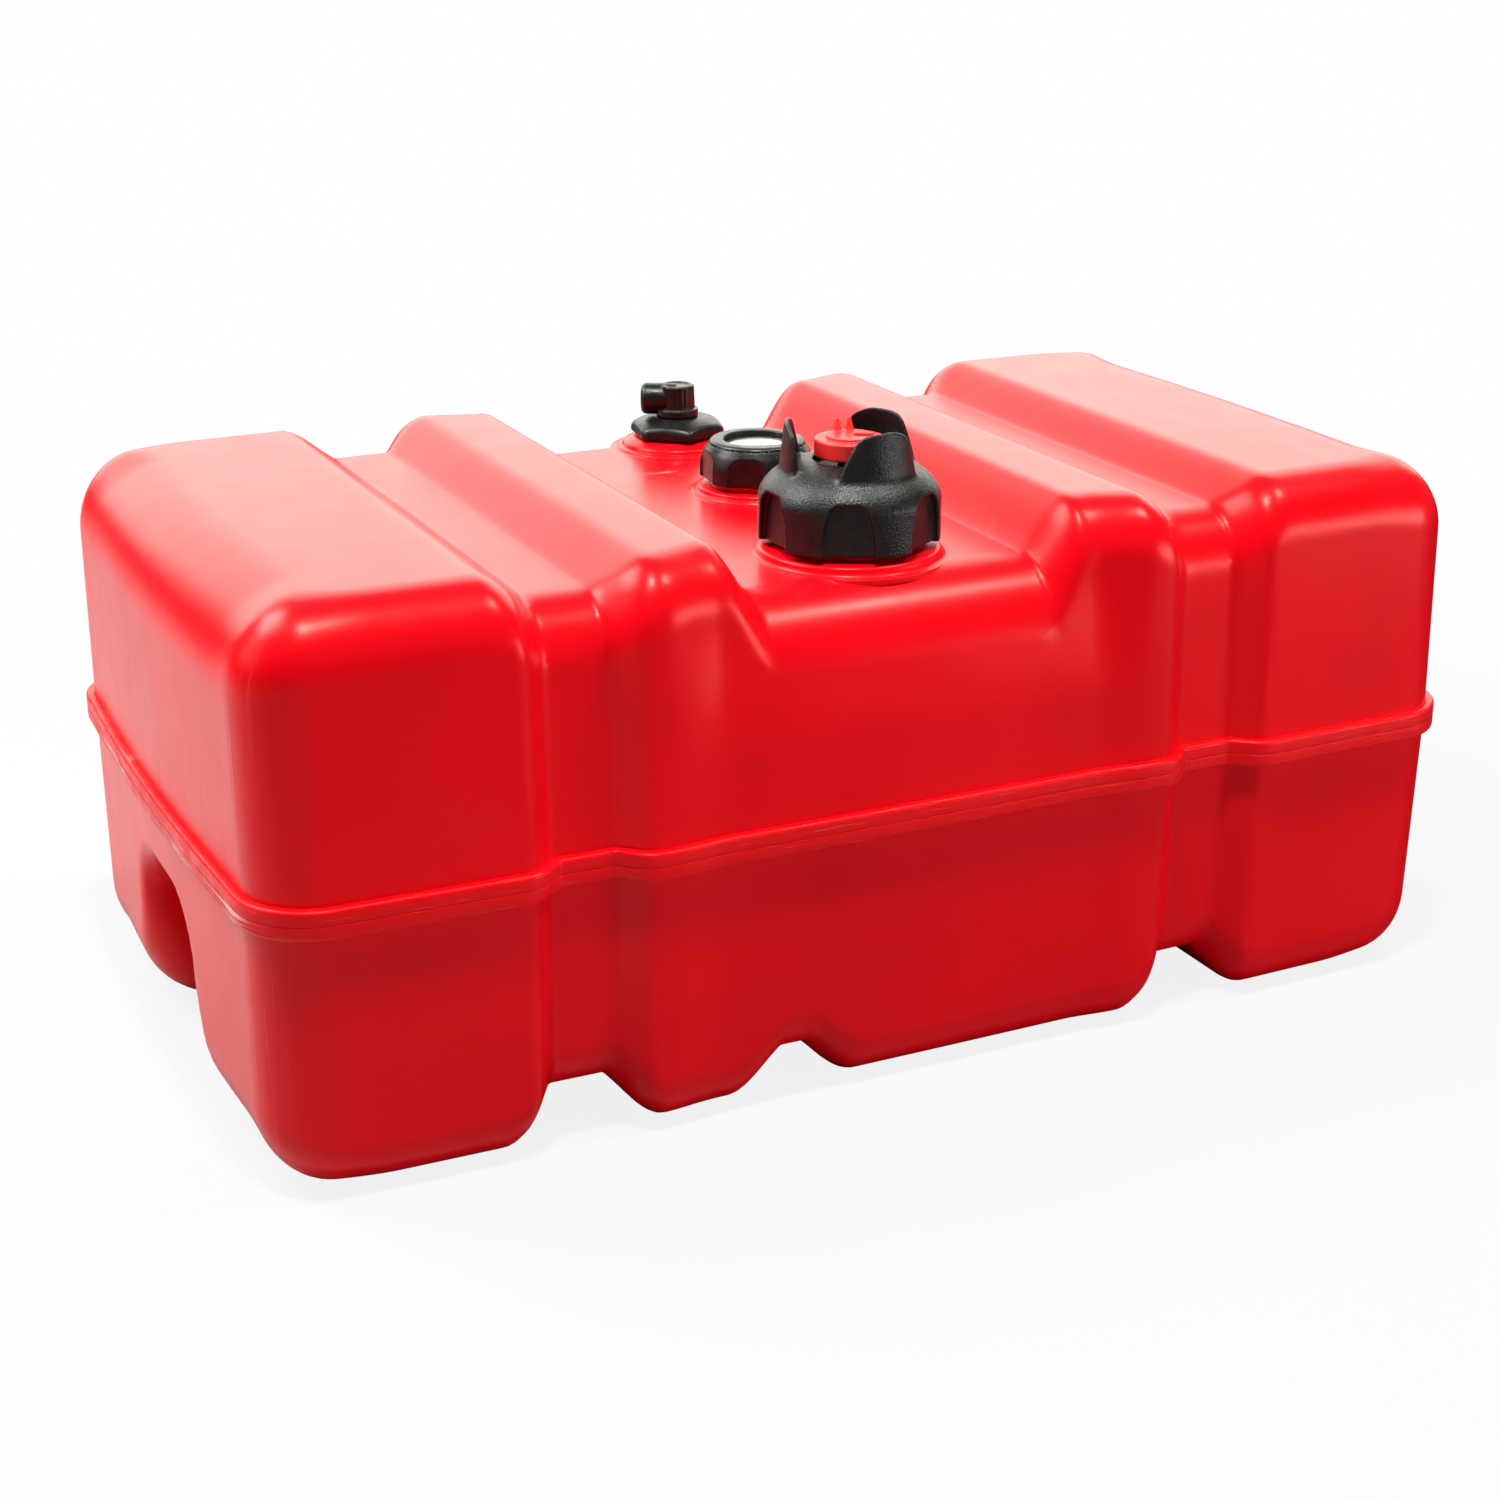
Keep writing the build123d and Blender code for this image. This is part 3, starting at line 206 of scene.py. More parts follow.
# Float gauge
RING_RADIUS = 29.5
RING_BOTTOM = 7.0
RING_BOTTOM_EDGE = 0.8
RING_SHOULDER = 18.3
RING_SHOULDER_SCALE = 0.8
RING_SHOULDER_EDGE = 2.5
RING_TOP = 27.2
RING_TOP_EDGE = 1.2
RING_CEILING = 25.0
RING_RIM_RADIUS = 23.6
RING_WINDOW = 17.2
RING_WINDOW_EDGE = 1.0
RING_BORE = 24.4
RING_GRIPS = {
    "count": 6, "angle": -6.4, "width": 19.0, "depth": 2.7, "top": 21.8, "knee": 18.4, "slant": 1.2,
    "scale": 0.8, "corner": 1.5, "top_edge": 1.2, "back_edge": 0.8,
}
RING_GRIP_EDGE = 0.7
RING_STEP = 0.6
DIAL_DIVISIONS = 12
DIAL_MARK_SIDES = (0.9, 0.6)         # each pair: where a mark begins to show, and where it is full
DIAL_MARK_INNER = (12.2, 12.4)
DIAL_MARK_OUTER = (15.8, 15.6)

# Fuel pickup
NUT_RADIUS = 27.0
NUT_CORNER = 4.5
NUT_CORNER_ANGLE = 21.3
NUT_BOTTOM = 7.5
NUT_BOTTOM_EDGE = 1.0
NUT_TOP = 16.9
NUT_FLAT = 13.0
NUT_CROWN_DROP = 5.0
NUT_CROWN_POWER = 1.35
NUT_CROWN_SCALE = 0.93
NUT_CROWN_EDGE = 2.6
NUT_BORE = 9.8
NUT_THREAD_BORE = 16.4
NUT_THREAD_TOP = 14.5
NUT_STEP = 0.6
COLLAR_BOTTOM = 17.2
COLLAR_BOTTOM_EDGE = 0.5
COLLAR_TOP = 21.3
COLLAR_TOP_EDGE = 0.7
COLLAR_RADIUS = 11.5
COLLAR_FILLET = 0.5
ELBOW_RADIUS = 9.8
ELBOW_TOP_RADIUS = 9.3
ELBOW_TOP = 34.2
ELBOW_TOP_EDGE = 1.1
ELBOW_FLUTES = 12
FLUTE_DEPTH = 0.45
FLUTE_POWER = 3
FLUTE_STOP = 1.6             # the flutes end this far below the top
DISH_RIM = 2.6
DISH_DEPTH = 0.6
DISH_EDGE = 0.5
PORT_RADIUS = 8.5
PORT_AXIS = 26.2
PORT_REACH = 19.6
PORT_ANGLE = 152.0
PORT_END_RADIUS = 3.0
PORT_ROOT_EDGE = 1.0
PORT_FILLET = 0.3
PORT_THREAD = 5.3
PORT_THREAD_WAVE = 0.35
PORT_THREAD_LENGTH = 12.0
PORT_PITCH = 1.41
FLOW_RADIUS = 3.0
SPIGOT_RADIUS = 6.4
SPIGOT_BOTTOM = 4.2
O_RING_HEIGHT = 10.0
O_RING_SECTION = 0.8
O_RING_PLAY = 0.1
ELBOW_STEP = 0.5

# Necks that are moulded with the body: place, bore, outer radius, top, pitch of the thread, and the boss
# below, as (radius, height, corner radius) from the deck inwards
NECKS = {
    "filler_neck": (FILLER, 27.0, 32.3, 30.0, 6.0, (
        (48.0, -0.5, 0.2), (44.8, 0.25, 3.0), (43.8, 4.1, 1.8), (40.0, 4.5, 3.0))),
    "gauge_neck": (GAUGE, 20.0, 23.9, 14.0, 4.0, (
        (38.0, -0.5, 0.2), (34.2, 0.3, 2.5), (33.4, 1.2, 0.6), (31.4, 1.5, 0.8), (30.9, 3.6, 1.2),
        (28.0, 4.0, 1.5))),
    "pickup_neck": (PICKUP, 12.5, 15.9, 11.3, 3.0, (
        (37.0, -0.5, 0.2), (33.6, 0.3, 2.0), (32.6, 1.2, 0.6), (30.6, 1.5, 0.8), (29.6, 3.6, 2.0),
        (24.0, 6.2, 3.0))),
}
NECK_ROOT = 2.5              # the neck runs on this far below the wall, and its foot ends above that
NECK_FOOT_RISE = 1.0
NECK_ROOT_EDGE = 1.0
NECK_FILLET = 0.5
NECK_LIP_EDGE = 0.8
THREAD_DEPTH = 1.1
THREAD_MARGIN = 2.5          # plain neck above and below the thread
THREAD_RUN = 2.0             # height over which the thread begins and ends
THREAD_POINTS = 8            # points in one pitch of the outline

# Meshes
BODY_ROOM = 3                # mesh spacings of empty space round a field
FITTING_ROOM = 4
SKIN_PASSES = 3              # times that a skin's points are moved onto the surface
SKIN_NUDGE = 0.05            # share of the mesh spacing over which a slope is measured
SKIN_LEAST_SLOPE = 0.2       # keeps flat places of a field from sending points far away
ARC_POINTS = 5               # points on each rounded corner of an outline
HOLE_TURNS = 64              # sides of a turned shape
NECK_TURNS = 120


# Fields: below zero inside a solid, above zero outside it

def smooth_step(share):
    share = np.clip(share, 0.0, 1.0)
    return share * share * (3 - 2 * share)


def fade(distance, full, none):
    """1 up to the distance full, 0 past the distance none."""
    return 1 - smooth_step((distance - full) / (none - full))


def cut(a, b, radius):
    """What lies in both a and b, with their common edge rounded."""
    outside = np.hypot(np.maximum(radius + a, 0), np.maximum(radius + b, 0))
    return np.minimum(-radius, np.maximum(a, b)) + outside


def join(a, b, radius):
    """What lies in a or b, with a fillet where they meet."""
    return -cut(-a, -b, radius)


def slope(distance, foot, crest):
    """1 below a slope's foot, which is tight, and 0 past its crest, which is soft."""
    share = np.clip((distance - foot) / (crest - foot), 0.0, 1.0)
    return 1 - FOOT_TIGHTNESS * (1 - (1 - share) ** 2) - (1 - FOOT_TIGHTNESS) * smooth_step(share)


def groove_share(x, mouth):
    return slope(np.abs(np.abs(x) - GROOVE_X), GROOVE_FLOOR / 2, mouth / 2)


def body_plan(x, y, z):
    """The body seen from above, and the share of the end in the nearest edge."""
    corner_x = BODY_LENGTH / 2 - END_BOW - CORNER_RADIUS
    corner_y = BODY_WIDTH / 2 - SIDE_BOW - CORNER_RADIUS
    bow = SIDE_BOW * np.minimum((x / corner_x) ** 2, 1)
    bulge = (y / corner_y) ** 2
    crown = END_BOW * bulge / (1 + bulge ** END_BOW_POWER) ** (1 / END_BOW_POWER)
    lean = DRAFT * np.abs(z - BELT_MIDDLE)
    panel = PANEL_DEPTH + PANEL_TOP_DEPTH * smooth_step((z - PANEL_BEND) / (DECK - PANEL_BEND))
    panel = panel * fade(np.abs(x), PANEL_FLAT / 2, PANEL_MOUTH / 2)
    groove = GROOVE_SIDE_DEPTH * groove_share(x, GROOVE_SIDE_MOUTH)
    side = np.abs(y) - (BODY_WIDTH / 2 - bow - lean - groove - panel)
    end = np.abs(x) - (BODY_LENGTH / 2 - crown)
    near_side = np.maximum(EDGE_BLEND + side, 1e-6) ** 2
    near_end = np.maximum(EDGE_BLEND + end, 0) ** 2
    return cut(side, end, CORNER_RADIUS), near_end / (near_end + near_side)


def pocket_field(x, y, z):
    across = cut(np.abs(y) - POCKET_WIDTH / 2, z - POCKET_HEIGHT, POCKET_ARCH_RADIUS)
    return cut(across, BODY_LENGTH / 2 - POCKET_DEPTH - np.abs(x), POCKET_INNER_RADIUS)


def body_field(x, y, z):
    plan, end_share = body_plan(x, y, z)
    groove = groove_share(x, GROOVE_TOP_MOUTH)
    deck = slope(np.abs(x), DECK_FLAT / 2, DECK_MOUTH / 2)
    channel = slope(np.abs(x - CHANNEL_X), CHANNEL_FLOOR / 2, CHANNEL_MOUTH / 2)
    top = z - (BODY_HEIGHT - GROOVE_TOP_DEPTH * groove - DECK_DEPTH * deck)
    bottom = GROOVE_BOTTOM_DEPTH * groove + CHANNEL_DEPTH * channel - BASE_FLAT_DEPTH - z
    top_radius = TOP_EDGE_RADIUS + (END_EDGE_RADIUS - TOP_EDGE_RADIUS) * end_share
    top_radius += (DECK_EDGE_RADIUS - TOP_EDGE_RADIUS) * deck
    low_radius = BOTTOM_EDGE_RADIUS + (END_EDGE_RADIUS - BOTTOM_EDGE_RADIUS) * end_share
    body = cut(cut(plan, top, top_radius), bottom, low_radius)
    foot_share = fade(z, POCKET_FOOT_LOW, POCKET_FOOT_HIGH)
    mouth = POCKET_MOUTH_RADIUS + (POCKET_FOOT_RADIUS - POCKET_MOUTH_RADIUS) * foot_share
    return cut(body, -pocket_field(x, y, z), mouth)


def outer_field(x, y, z):
    return np.maximum(body_field(x, y, z), -z)


def cavity_field(x, y, z):
    return body_field(x, y, z) + WALL


def turned(x, y, angle):
    """A point's places along a direction and to its left."""
    return x * np.cos(angle) + y * np.sin(angle), y * np.cos(angle) - x * np.sin(angle)


def sector(x, y, count, first_angle):
    """Turn each point into the sector of its nearest repeat, whose middle is the +X side."""
    first, share = radians(first_angle), 2 * pi / count
    turn = np.round((np.arctan2(y, x) - first) / share) * share + first
    return turned(x, y, turn)


def outline_field(points, across, height):
    """Distance to a closed outline, below zero inside it."""
    points = np.array(points)
    nearest = np.full(across.shape, np.inf)
    inside = np.zeros(across.shape, bool)
    for (ax, ay), (bx, by) in zip(points, np.roll(points, -1, axis=0)):
        ex, ey = bx - ax, by - ay
        wx, wy = across - ax, height - ay
        along = np.clip((wx * ex + wy * ey) / (ex * ex + ey * ey), 0, 1)
        nearest = np.minimum(nearest, (wx - ex * along) ** 2 + (wy - ey * along) ** 2)
        if ey:
            crosses = (ay > height) != (by > height)
            inside ^= crosses & (across < ax + ex * (height - ay) / ey)
    return np.where(inside, -1, 1) * np.sqrt(nearest)


def curved(points):
    """The points joined by a smooth curve that passes through each of them."""
    points = np.array(points, float)
    padded = np.vstack([2 * points[0] - points[1], points, 2 * points[-1] - points[-2]])
    made = []
    for a, b, c, d in zip(padded, padded[1:], padded[2:], padded[3:]):
        for step in range(CURVE_STEPS):
            t = step / CURVE_STEPS
            made.append(0.5 * (2 * b + (c - a) * t + (2 * a - 5 * b + 4 * c - d) * t * t
                               + (3 * b - a - 3 * c + d) * t ** 3))
    return np.array(made + [points[-1]])


def grips(x, y, h, radius, count, angle, width, depth, top, knee, slant, scale, corner, top_edge, back_edge):
    """The flat recesses round a knob, whose sides lean together above their knee."""
    radial, across = sector(x, y, count, angle)
    side = np.abs(across) - width / 2
    lean = (side + (h - knee) * slant) * scale
    recess = cut(cut(side, lean, corner), h - top, top_edge)
    return cut(recess, radius - depth - radial, back_edge)


def fin_field(x, y, h):
    """Guard fins: sheets bent round the cap's axis that lean in and grow thinner towards their tops."""
    radial, across = sector(x, y, FIN_COUNT, FIN_ANGLE)
    rise = np.clip((h - FIN_FOOT) / (FIN_TOP - FIN_FOOT), 0, 1)
    radius = FIN_RADIUS - FIN_THICKNESS / 2 - FIN_LEAN * rise
    thickness = FIN_THICKNESS + (FIN_TIP_THICKNESS - FIN_THICKNESS) * rise
    sheet = np.abs(np.hypot(radial, across) - radius) - thickness / 2
    return cut(sheet, outline_field(curved(FIN_OUTLINE), across, h), FIN_TIP_THICKNESS / 2)


def cap_field(x, y, h):
    """Filler cap: domed crown, arched grips, guard fins, the button's well, hollow inside."""
    r = np.hypot(x, y)
    rise = np.maximum(h - CAP_SHOULDER, 0) / (CAP_TOP - CAP_SHOULDER)
    reach = ((r / CAP_RADIUS) ** CAP_SIDE_POWER + rise ** CAP_DOME_POWER) ** (1 / CAP_SIDE_POWER)
    cap = cut(CAP_RADIUS * (reach - 1), CAP_BOTTOM - h, CAP_BOTTOM_EDGE)
    cap = cut(cap, -grips(x, y, h, CAP_RADIUS, **CAP_GRIPS), CAP_GRIP_EDGE)
    cap = join(cap, fin_field(x, y, h), FIN_BLEND)
    cap = cut(cap, -np.maximum(r - WELL_RADIUS, WELL_FLOOR - h), WELL_EDGE)
    inner = np.maximum(r - CAP_INNER_RADIUS, h - CAP_INNER_TOP)
    chamfer = r - CAP_INNER_RADIUS + h - CAP_INNER_TOP + CAP_INNER_CHAMFER
    inner = np.maximum(inner, chamfer * CHAMFER_SCALE)
    hollow = np.maximum(np.maximum(r - CAP_HOLLOW_OUTER, CAP_HOLLOW_INNER - r), h - CAP_HOLLOW_TOP)
    cap = np.maximum(cap, -np.minimum(inner, hollow))
    return np.maximum(cap, STEM_HOLE - r)


def ring_field(x, y, h):
    """Gauge ring: bevel-topped grips round a sloping shoulder, and the rim of its window."""
    r = np.hypot(x, y)
    fall = (RING_RADIUS - RING_RIM_RADIUS) / (RING_TOP - RING_SHOULDER)
    shoulder = RING_RADIUS - (h - RING_SHOULDER) * fall
    ring = cut(r - RING_RADIUS, (r - shoulder) * RING_SHOULDER_SCALE, RING_SHOULDER_EDGE)
    ring = cut(ring, h - RING_TOP, RING_TOP_EDGE)
    ring = cut(ring, RING_BOTTOM - h, RING_BOTTOM_EDGE)
    ring = cut(ring, -grips(x, y, h, RING_RADIUS, **RING_GRIPS), RING_GRIP_EDGE)
    ring = cut(ring, RING_WINDOW - r, RING_WINDOW_EDGE)
    return np.maximum(ring, -np.maximum(r - RING_BORE, h - RING_CEILING))


def nut_field(x, y, h):
    """Pickup nut: a hexagon with round corners whose crown falls towards them."""
    r = np.hypot(x, y)
    radial, across = sector(x, y, 6, NUT_CORNER_ANGLE + 30)
    flat_radius = NUT_RADIUS * cos(pi / 6)
    flat = radial - flat_radius
    inner = flat + NUT_CORNER
    half_side = (flat_radius - NUT_CORNER) * tan(pi / 6)
    past_corner = np.maximum(np.abs(across) - half_side, 0)
    hexagon = np.where(inner > 0, np.hypot(inner, past_corner) - NUT_CORNER, flat)
    rise = np.maximum(r - NUT_FLAT, 0) / (NUT_RADIUS - NUT_FLAT)
    top = NUT_TOP - NUT_CROWN_DROP * rise ** NUT_CROWN_POWER
    nut = cut(hexagon, (h - top) * NUT_CROWN_SCALE, NUT_CROWN_EDGE)
    nut = cut(nut, NUT_BOTTOM - h, NUT_BOTTOM_EDGE)
    nut = np.maximum(nut, NUT_BORE - r)
    return np.maximum(nut, -np.maximum(r - NUT_THREAD_BORE, h - NUT_THREAD_TOP))


def elbow_field(x, y, h):
    """Pickup elbow: collar, fluted upright and the side port that the fuel line screws into."""
    r = np.hypot(x, y)
    rise = np.clip((h - COLLAR_TOP) / (ELBOW_TOP - COLLAR_TOP), 0, 1)
    flute = FLUTE_DEPTH * np.maximum(np.cos(np.arctan2(y, x) * ELBOW_FLUTES), 0) ** FLUTE_POWER
    radius = ELBOW_RADIUS - (ELBOW_RADIUS - ELBOW_TOP_RADIUS) * rise - flute * (h < ELBOW_TOP - FLUTE_STOP)
    upright = cut(r - radius, h - ELBOW_TOP, ELBOW_TOP_EDGE)
    dish = np.maximum(r - ELBOW_TOP_RADIUS + DISH_RIM, ELBOW_TOP - DISH_DEPTH - h)
    upright = cut(upright, -dish, DISH_EDGE)
    along, aside = turned(x, y, radians(PORT_ANGLE))
    from_port = np.hypot(aside, h - PORT_AXIS)
    port = cut(from_port - PORT_RADIUS, along - PORT_REACH, PORT_END_RADIUS)
    port = cut(port, -along, PORT_ROOT_EDGE)
    collar = cut(r - COLLAR_RADIUS, h - COLLAR_TOP, COLLAR_TOP_EDGE)
    collar = cut(collar, COLLAR_BOTTOM - h, COLLAR_BOTTOM_EDGE)
    elbow = join(join(upright, port, PORT_FILLET), collar, COLLAR_FILLET)
    groove_wall = np.abs(h - O_RING_HEIGHT) - O_RING_SECTION - O_RING_PLAY
    groove = np.maximum(SPIGOT_RADIUS - 2 * O_RING_SECTION - r, groove_wall)
    spigot = np.maximum(np.maximum(r - SPIGOT_RADIUS, SPIGOT_BOTTOM - h), h - COLLAR_TOP)
    spigot = np.maximum(spigot, -groove)
    elbow = np.minimum(np.maximum(elbow, COLLAR_BOTTOM - h), spigot)
    wave = np.cos(2 * pi * along / PORT_PITCH - np.arctan2(aside, h - PORT_AXIS))
    thread = from_port - PORT_THREAD + PORT_THREAD_WAVE * wave
    hole = np.maximum(thread, PORT_REACH - PORT_THREAD_LENGTH - along)
    side_passage = np.maximum(from_port - FLOW_RADIUS, -along)
    down_passage = np.maximum(r - FLOW_RADIUS, h - PORT_AXIS)
    return np.maximum(elbow, -np.minimum(hole, np.minimum(side_passage, down_passage)))


def button_field(x, y, h):
    """Release button: red disc with a raised middle, a notch in it, and two prongs; its stem below."""
    r = np.hypot(x, y)
    disc = cut(r - BUTTON_RADIUS, h - BUTTON_TOP, BUTTON_TOP_EDGE)
    disc = cut(disc, BUTTON_BOTTOM - h, BUTTON_BOTTOM_EDGE)
    raised = cut(r - RAISED_RADIUS, h - BUTTON_TOP - RAISED_HEIGHT, RAISED_EDGE)
    raised = cut(raised, BUTTON_BOTTOM - h, RAISED_ROOT_EDGE)
    disc = join(disc, raised, RAISED_FILLET)
    along, aside = turned(x, y, radians(NOTCH_ANGLE))
    notch = np.maximum(NOTCH_START - along, along - NOTCH_END)
    notch = np.maximum(notch, np.abs(aside) - NOTCH_WIDTH / 2)
    ribs = NOTCH_RIB_HEIGHT * np.cos(2 * pi * along / NOTCH_RIB_PITCH)
    notch = np.maximum(notch, BUTTON_TOP - NOTCH_DEPTH + ribs - h)
    disc = cut(disc, -notch, NOTCH_EDGE)
    along, aside = turned(x, y, radians(PRONG_ANGLE))
    share = np.clip((h - BUTTON_TOP) / PRONG_HEIGHT, 0, 1)
    half = (PRONG_BASE + (PRONG_TIP - PRONG_BASE) * share) / 2
    prong = np.maximum(np.abs(np.abs(aside) - PRONG_SPACING / 2) - half, np.abs(along - PRONG_OFFSET) - half)
    prong = cut(prong, h - BUTTON_TOP - PRONG_HEIGHT, PRONG_TIP_EDGE)
    disc = join(disc, np.maximum(prong, BUTTON_TOP - PRONG_ROOT - h), PRONG_FILLET)
    hollow = np.maximum(r - BUTTON_RADIUS + BUTTON_SKIN, h - BUTTON_TOP + BUTTON_SKIN)
    disc = np.maximum(disc, -hollow)
    stem = np.maximum(np.maximum(r - STEM_RADIUS, STEM_TIP_TOP - h), h - BUTTON_TOP)
    tip = np.maximum(np.maximum(r - STEM_TIP_RADIUS, STEM_TIP_BOTTOM - h), h - BUTTON_TOP)
    return np.minimum(disc, np.minimum(stem, tip))


# Meshes

def skin(field, low, high, step):
    """Even quads on the zero surface of a field within a box, with their points brought onto it."""
    axes = [np.arange(a, b + step, step) for a, b in zip(low, high)]
    values = field(*np.meshgrid(*axes, indexing="ij"))
    inside = values < 0
    # Each grid line that crosses the surface gives a quad between the four cells round it. A cell's
    # point is the mean of the crossings on its sides.
    cells = tuple(n - 1 for n in values.shape)
    total = np.zeros((3, int(np.prod(cells))))
    count = np.zeros(total.shape[1])
    quads = []
    for axis in range(3):
        here = tuple(slice(None, -1) if k == axis else slice(None) for k in range(3))
        there = tuple(slice(1, None) if k == axis else slice(None) for k in range(3))
        index = np.argwhere(inside[here] != inside[there])
        start, stop = values[here][tuple(index.T)], values[there][tuple(index.T)]
        place = index.astype(float)
        place[:, axis] += start / (start - stop)
        u, v = (axis + 1) % 3, (axis + 2) % 3
        ring = []
        for du, dv in ((-1, -1), (0, -1), (0, 0), (-1, 0)):
            cell = index.copy()
            cell[:, u] += du
            cell[:, v] += dv
            flat = np.ravel_multi_index(tuple(cell.T), cells)
            count += np.bincount(flat, minlength=len(count))
            for k in range(3):
                total[k] += np.bincount(flat, weights=place[:, k], minlength=len(count))
            ring.append(flat)
        quad = np.stack(ring, axis=1)
        quads.append(np.where((start < 0)[:, None], quad, quad[:, ::-1]))
    used = np.flatnonzero(count)
    number = np.zeros(len(count), int)
    number[used] = np.arange(len(used))
    points = np.array(low, float) + (total[:, used] / count[used]).T * step
    nudge = step * SKIN_NUDGE
    for _ in range(SKIN_PASSES):
        value = field(*points.T)
        rises = [field(*(points + nudge * unit).T) - field(*(points - nudge * unit).T) for unit in np.eye(3)]
        gradient = np.stack(rises, axis=1) / (2 * nudge)
        steepness = np.maximum((gradient ** 2).sum(1), SKIN_LEAST_SLOPE)
        points -= np.clip(gradient * (value / steepness)[:, None], -step / 2, step / 2)
    return points, number[np.concatenate(quads)]


def drawn(name, points, faces):
    """A mesh whose points are given in millimetres."""
    mesh = bpy.data.meshes.new(name)
    mesh.from_pydata((np.array(points) * MM).tolist(), [], np.array(faces).tolist())
    return mesh


def placed(name, data):
    """A new object in the scene."""
    made = bpy.data.objects.new(name, data)
    bpy.context.scene.collection.objects.link(made)
    return made


def piece(name, points, faces, body, material, slot, *nodes):
    """A smooth mesh, drawn in millimetres, that rides on a body and stands for its CAD nodes."""
    mesh = drawn(name, points, faces)
    mesh.validate()
    mesh.shade_smooth()
    mesh.materials.append(material)
    made = placed(name, mesh)
    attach(made, body)
    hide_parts(*nodes)
    return made


def lathe(outline, x, y, turns, radius_at=None):
    """A closed (radius, height) outline turned about a fitting's axis; heights are above the deck."""
    outline = np.array(outline, float)
    height = DECK + outline[:, 1]
    rings = []
    for angle in np.linspace(0, 2 * pi, turns, endpoint=False):
        radius = outline[:, 0] if radius_at is None else radius_at(outline, angle)
        rings.append(np.stack([x + radius * cos(angle), y + radius * sin(angle), height], axis=1))
    return loops(rings)


def loops(rings):
    """Quads between rings of points, each of the same length, and from the last ring to the first."""
    rings = np.array(rings)
    count, size = rings.shape[:2]
    faces = []
    for k in range(count):
        here, after = k * size, (k + 1) % count * size
        faces += [(here + j, after + j, after + (j + 1) % size, here + (j + 1) % size) for j in range(size)]
    return rings.reshape(-1, 3), faces


def rounded(corners):
    """A closed outline whose (across, height, radius) corners are rounded by arcs."""
    made = []
    for k, (x, y, radius) in enumerate(corners):
        here = np.array((x, y), float)
        back = np.array(corners[k - 1][:2]) - here
        ahead = np.array(corners[(k + 1) % len(corners)][:2]) - here
        if not radius:
            made.append(here)
            continue
        back, ahead = back / np.hypot(*back), ahead / np.hypot(*ahead)
        half = np.arccos(np.clip(back @ ahead, -1, 1)) / 2
        middle = here + (back + ahead) / np.hypot(*(back + ahead)) * radius / sin(half)
        start, stop = here + back * radius / tan(half), here + ahead * radius / tan(half)
        for share in np.linspace(0, 1, ARC_POINTS):
            chord = start * (1 - share) + stop * share - middle
            made.append(middle + chord / np.hypot(*chord) * radius)
    return np.array(made)


def body_skin(field, step):
    room = BODY_ROOM * step
    low = (-BODY_LENGTH / 2 - room, -BODY_WIDTH / 2 - room, -room)
    high = (BODY_LENGTH / 2 + room, BODY_WIDTH / 2 + room, BODY_HEIGHT + room)
    return skin(field, low, high, step)


def body_shell(material):
    """The body's outer skin, with its cavity and the holes that the necks stand in taken out."""
    points, faces = body_skin(outer_field, BODY_STEP)
    points[:, 2] = np.maximum(points[:, 2], 0)
    made = piece("tank_body", points, faces, "tank", material, "tank_red", "tank_shell")
    take_out(made, *body_skin(cavity_field, CAVITY_STEP))
    for place, bore, *_ in NECKS.values():
        radius = bore + BORE_ROOM
        hole = [(0, -BORE_REACH), (radius, -BORE_REACH), (radius, WALL), (0, WALL)]
        take_out(made, *lathe(hole, *place, HOLE_TURNS))


def take_out(made, points, faces):
    """Cut a closed mesh, drawn in millimetres, out of a piece."""
    cutter = placed("cutter", drawn("cutter", points, faces))
    modifier = made.modifiers.new("cut", "BOOLEAN")
    modifier.operation = "DIFFERENCE"
    modifier.solver = "MANIFOLD"
    modifier.object = cutter
    ready = made.evaluated_get(bpy.context.evaluated_depsgraph_get())
    cut_mesh = bpy.data.meshes.new_from_object(ready)
    made.modifiers.clear()
    made.data = cut_mesh
    bpy.data.objects.remove(cutter)


def plan_outline(step):
    """Points round the body at the parting line, and the outward direction at each."""
    angle = np.linspace(0, 2 * pi, OUTLINE_RAYS, endpoint=False)
    ray = np.stack([np.cos(angle), np.sin(angle), np.zeros(len(angle))], axis=1)
    near, far = np.zeros(len(angle)), np.full(len(angle), BODY_LENGTH)
    # Each ray from the middle is halved down to where it leaves the body
    for _ in range(OUTLINE_HALVINGS):
        middle = (near + far) / 2
        x, y, _height = (ray * middle[:, None]).T
        solid = body_field(x, y, np.full(len(x), BELT_MIDDLE)) < 0
        near, far = np.where(solid, middle, near), np.where(solid, far, middle)
    path = ray[:, :2] * near[:, None]
    path = np.vstack([path, path[:1]])
    length = np.concatenate([[0], np.cumsum(np.hypot(*np.diff(path, axis=0).T))])
    places = np.linspace(0, length[-1], int(length[-1] / step), endpoint=False)
    even = np.stack([np.interp(places, length, path[:, k]) for k in range(2)], axis=1)
    along = np.roll(even, -1, axis=0) - np.roll(even, 1, axis=0)
    outward = np.stack([along[:, 1], -along[:, 0]], axis=1) / np.hypot(*along.T)[:, None]
    return even, outward


